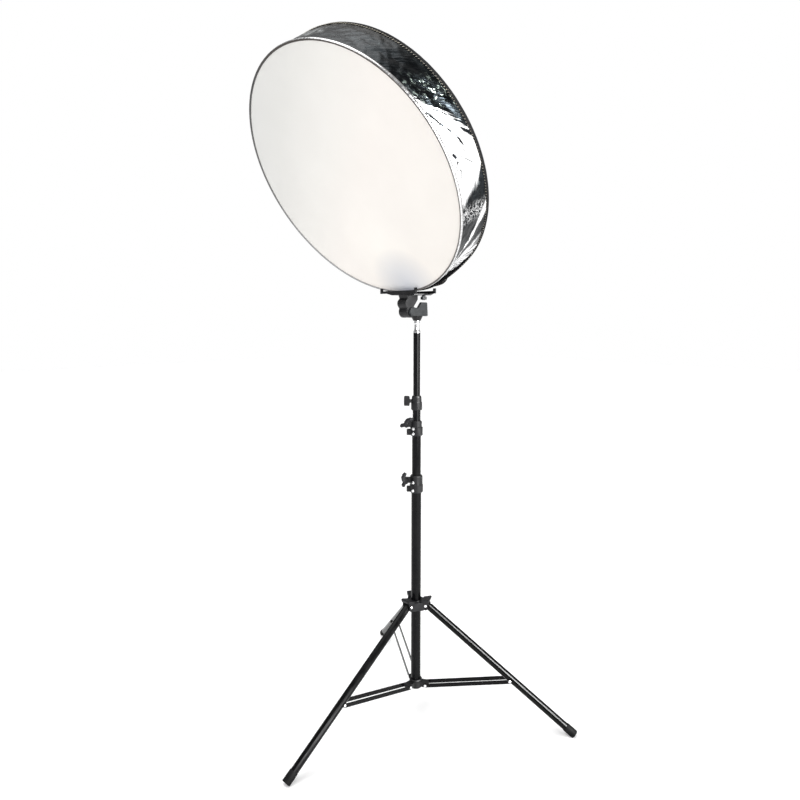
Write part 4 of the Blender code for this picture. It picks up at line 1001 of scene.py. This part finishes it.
def make_foot(name, azimuth):
    """A ribbed rubber foot over the end of a leg, flat where it meets the floor."""
    pin = outward_frame(azimuth) @ Matrix.Translation((HUB_PIN.x, 0.0, HUB_PIN.y))
    along = pin @ Matrix.Rotation(SLOPE, 4, "Y") @ Matrix.Rotation(radians(90), 4, "Y")
    end, wide, groove = LEG_LENGTH, 11.9 * MM, 11.4 * MM
    profile = [(0.0, end), (10.2 * MM, end), (groove, end - 0.5 * MM), (wide, end - 1.6 * MM)]
    for i in range(4):
        top = end - (4.0 + 3.2 * i) * MM
        profile += [(wide, top), (groove, top - 0.4 * MM)]
        profile += [(groove, top - 1.0 * MM), (wide, top - 1.4 * MM)]
    profile += [
        (11.8 * MM, end - 24.0 * MM),
        (11.4 * MM, end - 30.6 * MM),
        (11.0 * MM, end - 31.6 * MM),
        (10.6 * MM, end - 32.0 * MM),
        (10.6 * MM, end - 14.0 * MM),
        (0.0, end - 14.0 * MM),
    ]
    item = lathe("foot_" + name, profile, 40, along, RUBBER, "leg_" + name, clamp_floor=True)
    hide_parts("leg_foot_" + name)


def make_brace_rivet(name, azimuth):
    """The heads of the rivet that joins the brace to its leg, one on each strip."""
    outer = HUB_PIN + Vector((cos(SLOPE), -sin(SLOPE))) * BRACE_JOINT
    outer += Vector((-sin(SLOPE), -cos(SLOPE))) * BRACE_DROP
    profile = [
        (0.0, 1.7 * MM),
        (1.8 * MM, 1.6 * MM),
        (3.3 * MM, 1.1 * MM),
        (4.1 * MM, 0.3 * MM),
        (4.2 * MM, 0.0),
        (2.3 * MM, 0.0),
        (2.3 * MM, -1.8 * MM),
        (0.0, -1.8 * MM),
    ]
    # The left brace's rivet heads are given the black brace paint as painted shade; the others are bare
    # steel.
    look = BRACE_PAINT if name == "left" else RIVET_STEEL
    for side, sign in (("near", -1), ("far", 1)):
        at = outward_frame(azimuth) @ Matrix.Translation((outer.x, sign * BRACE_FACE, outer.y))
        at = at @ Matrix.Rotation(radians(-90 * sign), 4, "X")
        item = lathe(f"brace_rivet_{name}_{side}", profile, 20, at, look, "brace_" + name)


for leg, direction in AZIMUTHS.items():
    make_foot(leg, direction)
    make_brace_rivet(leg, direction)


# --- materials of the CAD's own pieces ---------------------------------------------------------


def look_of(node):
    """The material of a CAD piece, by its name."""
    if node.startswith("leg_"):
        return LEG_PAINT
    if node.endswith("_tube"):
        return BLACK_PAINT
    if node.startswith("brace_"):
        return BRACE_PAINT
    if node == "spigot":
        return CHROME
    if "pin_" in node or "rivet" in node or node == "tilt_bolt":
        return RIVET_STEEL
    if "hoop" in node:
        return SPRING_STEEL
    # the lever and knob take the paler plastic as painted light
    if node in ("tilt_lever", "bracket_knob"):
        return LIT_GREY_PLASTIC
    if node in ("tilt_block", "head_socket", "socket_collar", "bracket_plate", "lamp_body", "lamp_foot"):
        return HEAD_PLASTIC
    if node.startswith(("lever_", "knob_", "socket_knob", "hub_lock")):
        return LEVER_PLASTIC
    if node == "lamp_lens":
        return LENS
    if node == "pull_tab":
        return TAPE
    return DARK_PLASTIC


# widths of the rounded edges in millimetres
SOFT_EDGES = {
    "hub_collar": 0.8,
    "lower_collar": 0.8,
    "clamp_lower": 0.7,
    "clamp_middle": 0.7,
    "clamp_upper": 0.6,
    "knob_upper": 1.2,
    "tilt_block": 1.0,
    "head_socket": 0.6,
    "tilt_lever": 1.0,
    "bracket_plate": 0.6,
    "bracket_knob": 0.7,
    "socket_knob": 0.7,
    "hub_lock_knob": 0.7,
    "socket_collar": 0.4,
}


def soften(item, width):
    """Small rounded edges on a moulded piece."""
    weld = item.modifiers.new("weld", "WELD")
    weld.merge_threshold = 0.00001
    bevel = item.modifiers.new("edges", "BEVEL")
    bevel.width = width
    bevel.segments = 2
    bevel.limit_method = "ANGLE"
    bevel.angle_limit = radians(38)
    bevel.harden_normals = False


for node, item in NODES.items():
    item.data.materials.clear()
    item.data.materials.append(look_of(node))
    item.data.polygons.foreach_set("material_index", [0] * len(item.data.polygons))
    if node in SOFT_EDGES:
        soften(item, SOFT_EDGES[node] * MM)


# --- floor and light ---------------------------------------------------------------------------


def make_floor():
    """A pale floor a hair below the feet."""
    mesh = bpy.data.meshes.new("floor")
    half, below = 14.0, -0.0006
    around = ((-half, -half), (half, -half), (half, half), (-half, half))
    mesh.from_pydata([(x, y, below) for x, y in around], [], [(0, 1, 2, 3)])
    n = Nodes("pale_floor")
    clouds = n.noise(n.coordinates.outputs["Object"], 0.8, 3.0)
    n.set(Roughness=0.7, Emission_Strength=0.22, Emission_Color=(1.0, 1.0, 1.0, 1.0))
    n.put(Base_Color=n.ramp(clouds, [(0.3, (0.90, 0.90, 0.90)), (0.7, (0.92, 0.92, 0.92))]))
    mesh.materials.append(n.made)
    item = bpy.data.objects.new("floor", mesh)
    bpy.context.scene.collection.objects.link(item)


def make_world():
    """White where it is seen, and a soft grey gradient where it lights the object."""
    world = bpy.data.worlds.new("studio")
    bpy.context.scene.world = world
    world.use_nodes = True
    tree = world.node_tree
    tree.nodes.clear()
    out = tree.nodes.new("ShaderNodeOutputWorld")
    seen = tree.nodes.new("ShaderNodeBackground")
    seen.inputs["Color"].default_value = (1.0, 1.0, 1.0, 1.0)
    lit = tree.nodes.new("ShaderNodeBackground")
    path = tree.nodes.new("ShaderNodeLightPath")
    mix = tree.nodes.new("ShaderNodeMixShader")
    at = tree.nodes.new("ShaderNodeTexCoord")
    split = tree.nodes.new("ShaderNodeSeparateXYZ")
    ramp = tree.nodes.new("ShaderNodeValToRGB")
    tree.links.new(at.outputs["Generated"], split.inputs["Vector"])
    half = tree.nodes.new("ShaderNodeMath")
    half.operation = "MULTIPLY_ADD"
    half.inputs[1].default_value = 0.5
    half.inputs[2].default_value = 0.5
    tree.links.new(split.outputs["Z"], half.inputs[0])
    tree.links.new(half.outputs["Value"], ramp.inputs["Fac"])
    stops = [(0.0, 0.50), (0.5, 0.40), (0.62, 0.30), (1.0, 0.45)]
    elements = ramp.color_ramp.elements
    while len(elements) < len(stops):
        elements.new(0.5)
    for element, (position, value) in zip(elements, stops):
        element.position = position
        element.color = (value, value, value, 1.0)
    tree.links.new(ramp.outputs["Color"], lit.inputs["Color"])
    tree.links.new(path.outputs["Is Camera Ray"], mix.inputs["Fac"])
    tree.links.new(lit.outputs["Background"], mix.inputs[1])
    tree.links.new(seen.outputs["Background"], mix.inputs[2])
    tree.links.new(mix.outputs["Shader"], out.inputs["Surface"])


def area_light(name, at, target, size, power, gloss_only=False, along=None):
    """A rectangular light aimed at a target. Its first side lies nearest to along, if given."""
    data = bpy.data.lights.new(name, "AREA")
    data.shape = "RECTANGLE"
    data.size, data.size_y = size
    data.energy = power
    item = bpy.data.objects.new(name, data)
    item.location = at
    item.visible_diffuse = not gloss_only
    item.rotation_mode = "QUATERNION"
    back = (Vector(at) - Vector(target)).normalized()
    item.rotation_quaternion = (-back).to_track_quat("-Z", "Y")
    if along:
        side = (Vector(along) - back * back.dot(Vector(along))).normalized()
        item.rotation_quaternion = Matrix((side, back.cross(side), back)).transposed().to_quaternion()
    bpy.context.scene.collection.objects.link(item)


def sun_light(name, direction, strength, spread):
    """A distant light whose spread in degrees softens its shadows."""
    data = bpy.data.lights.new(name, "SUN")
    data.energy = strength
    data.angle = radians(spread)
    item = bpy.data.objects.new(name, data)
    item.rotation_mode = "QUATERNION"
    item.rotation_quaternion = Vector(direction).to_track_quat("-Z", "Y")
    bpy.context.scene.collection.objects.link(item)


make_floor()
make_world()
sun_light("overhead", (0.10, 0.15, -1.0), 1.9, 50.0)
area_light("key", (-0.6, -3.2, 2.6), (0.0, 0.0, 1.2), (1.6, 2.0), 20.0)
area_light("strip", (2.9, -0.75, 2.0), (0.0, 0.0, 0.5), (2.6, 0.26), 42.0)
area_light("leg_glint", (3.08, 0.49, 2.16), (0.2, 0.2, 0.2), (1.9, 0.8), 560.0, True, (0.79, 0.53, -0.94))
area_light("low_glint", (3.35, -0.42, 0.95), (0.0, -0.1, 0.2), (1.2, 0.7), 40.0, True, (0.0, 0.0, 1.0))
area_light("card", (3.2, 2.4, 1.5), (0.0, 0.0, 1.4), (2.6, 2.2), 30.0)
bpy.context.scene.view_settings.view_transform = "Standard"

bpy.context.view_layer.update()
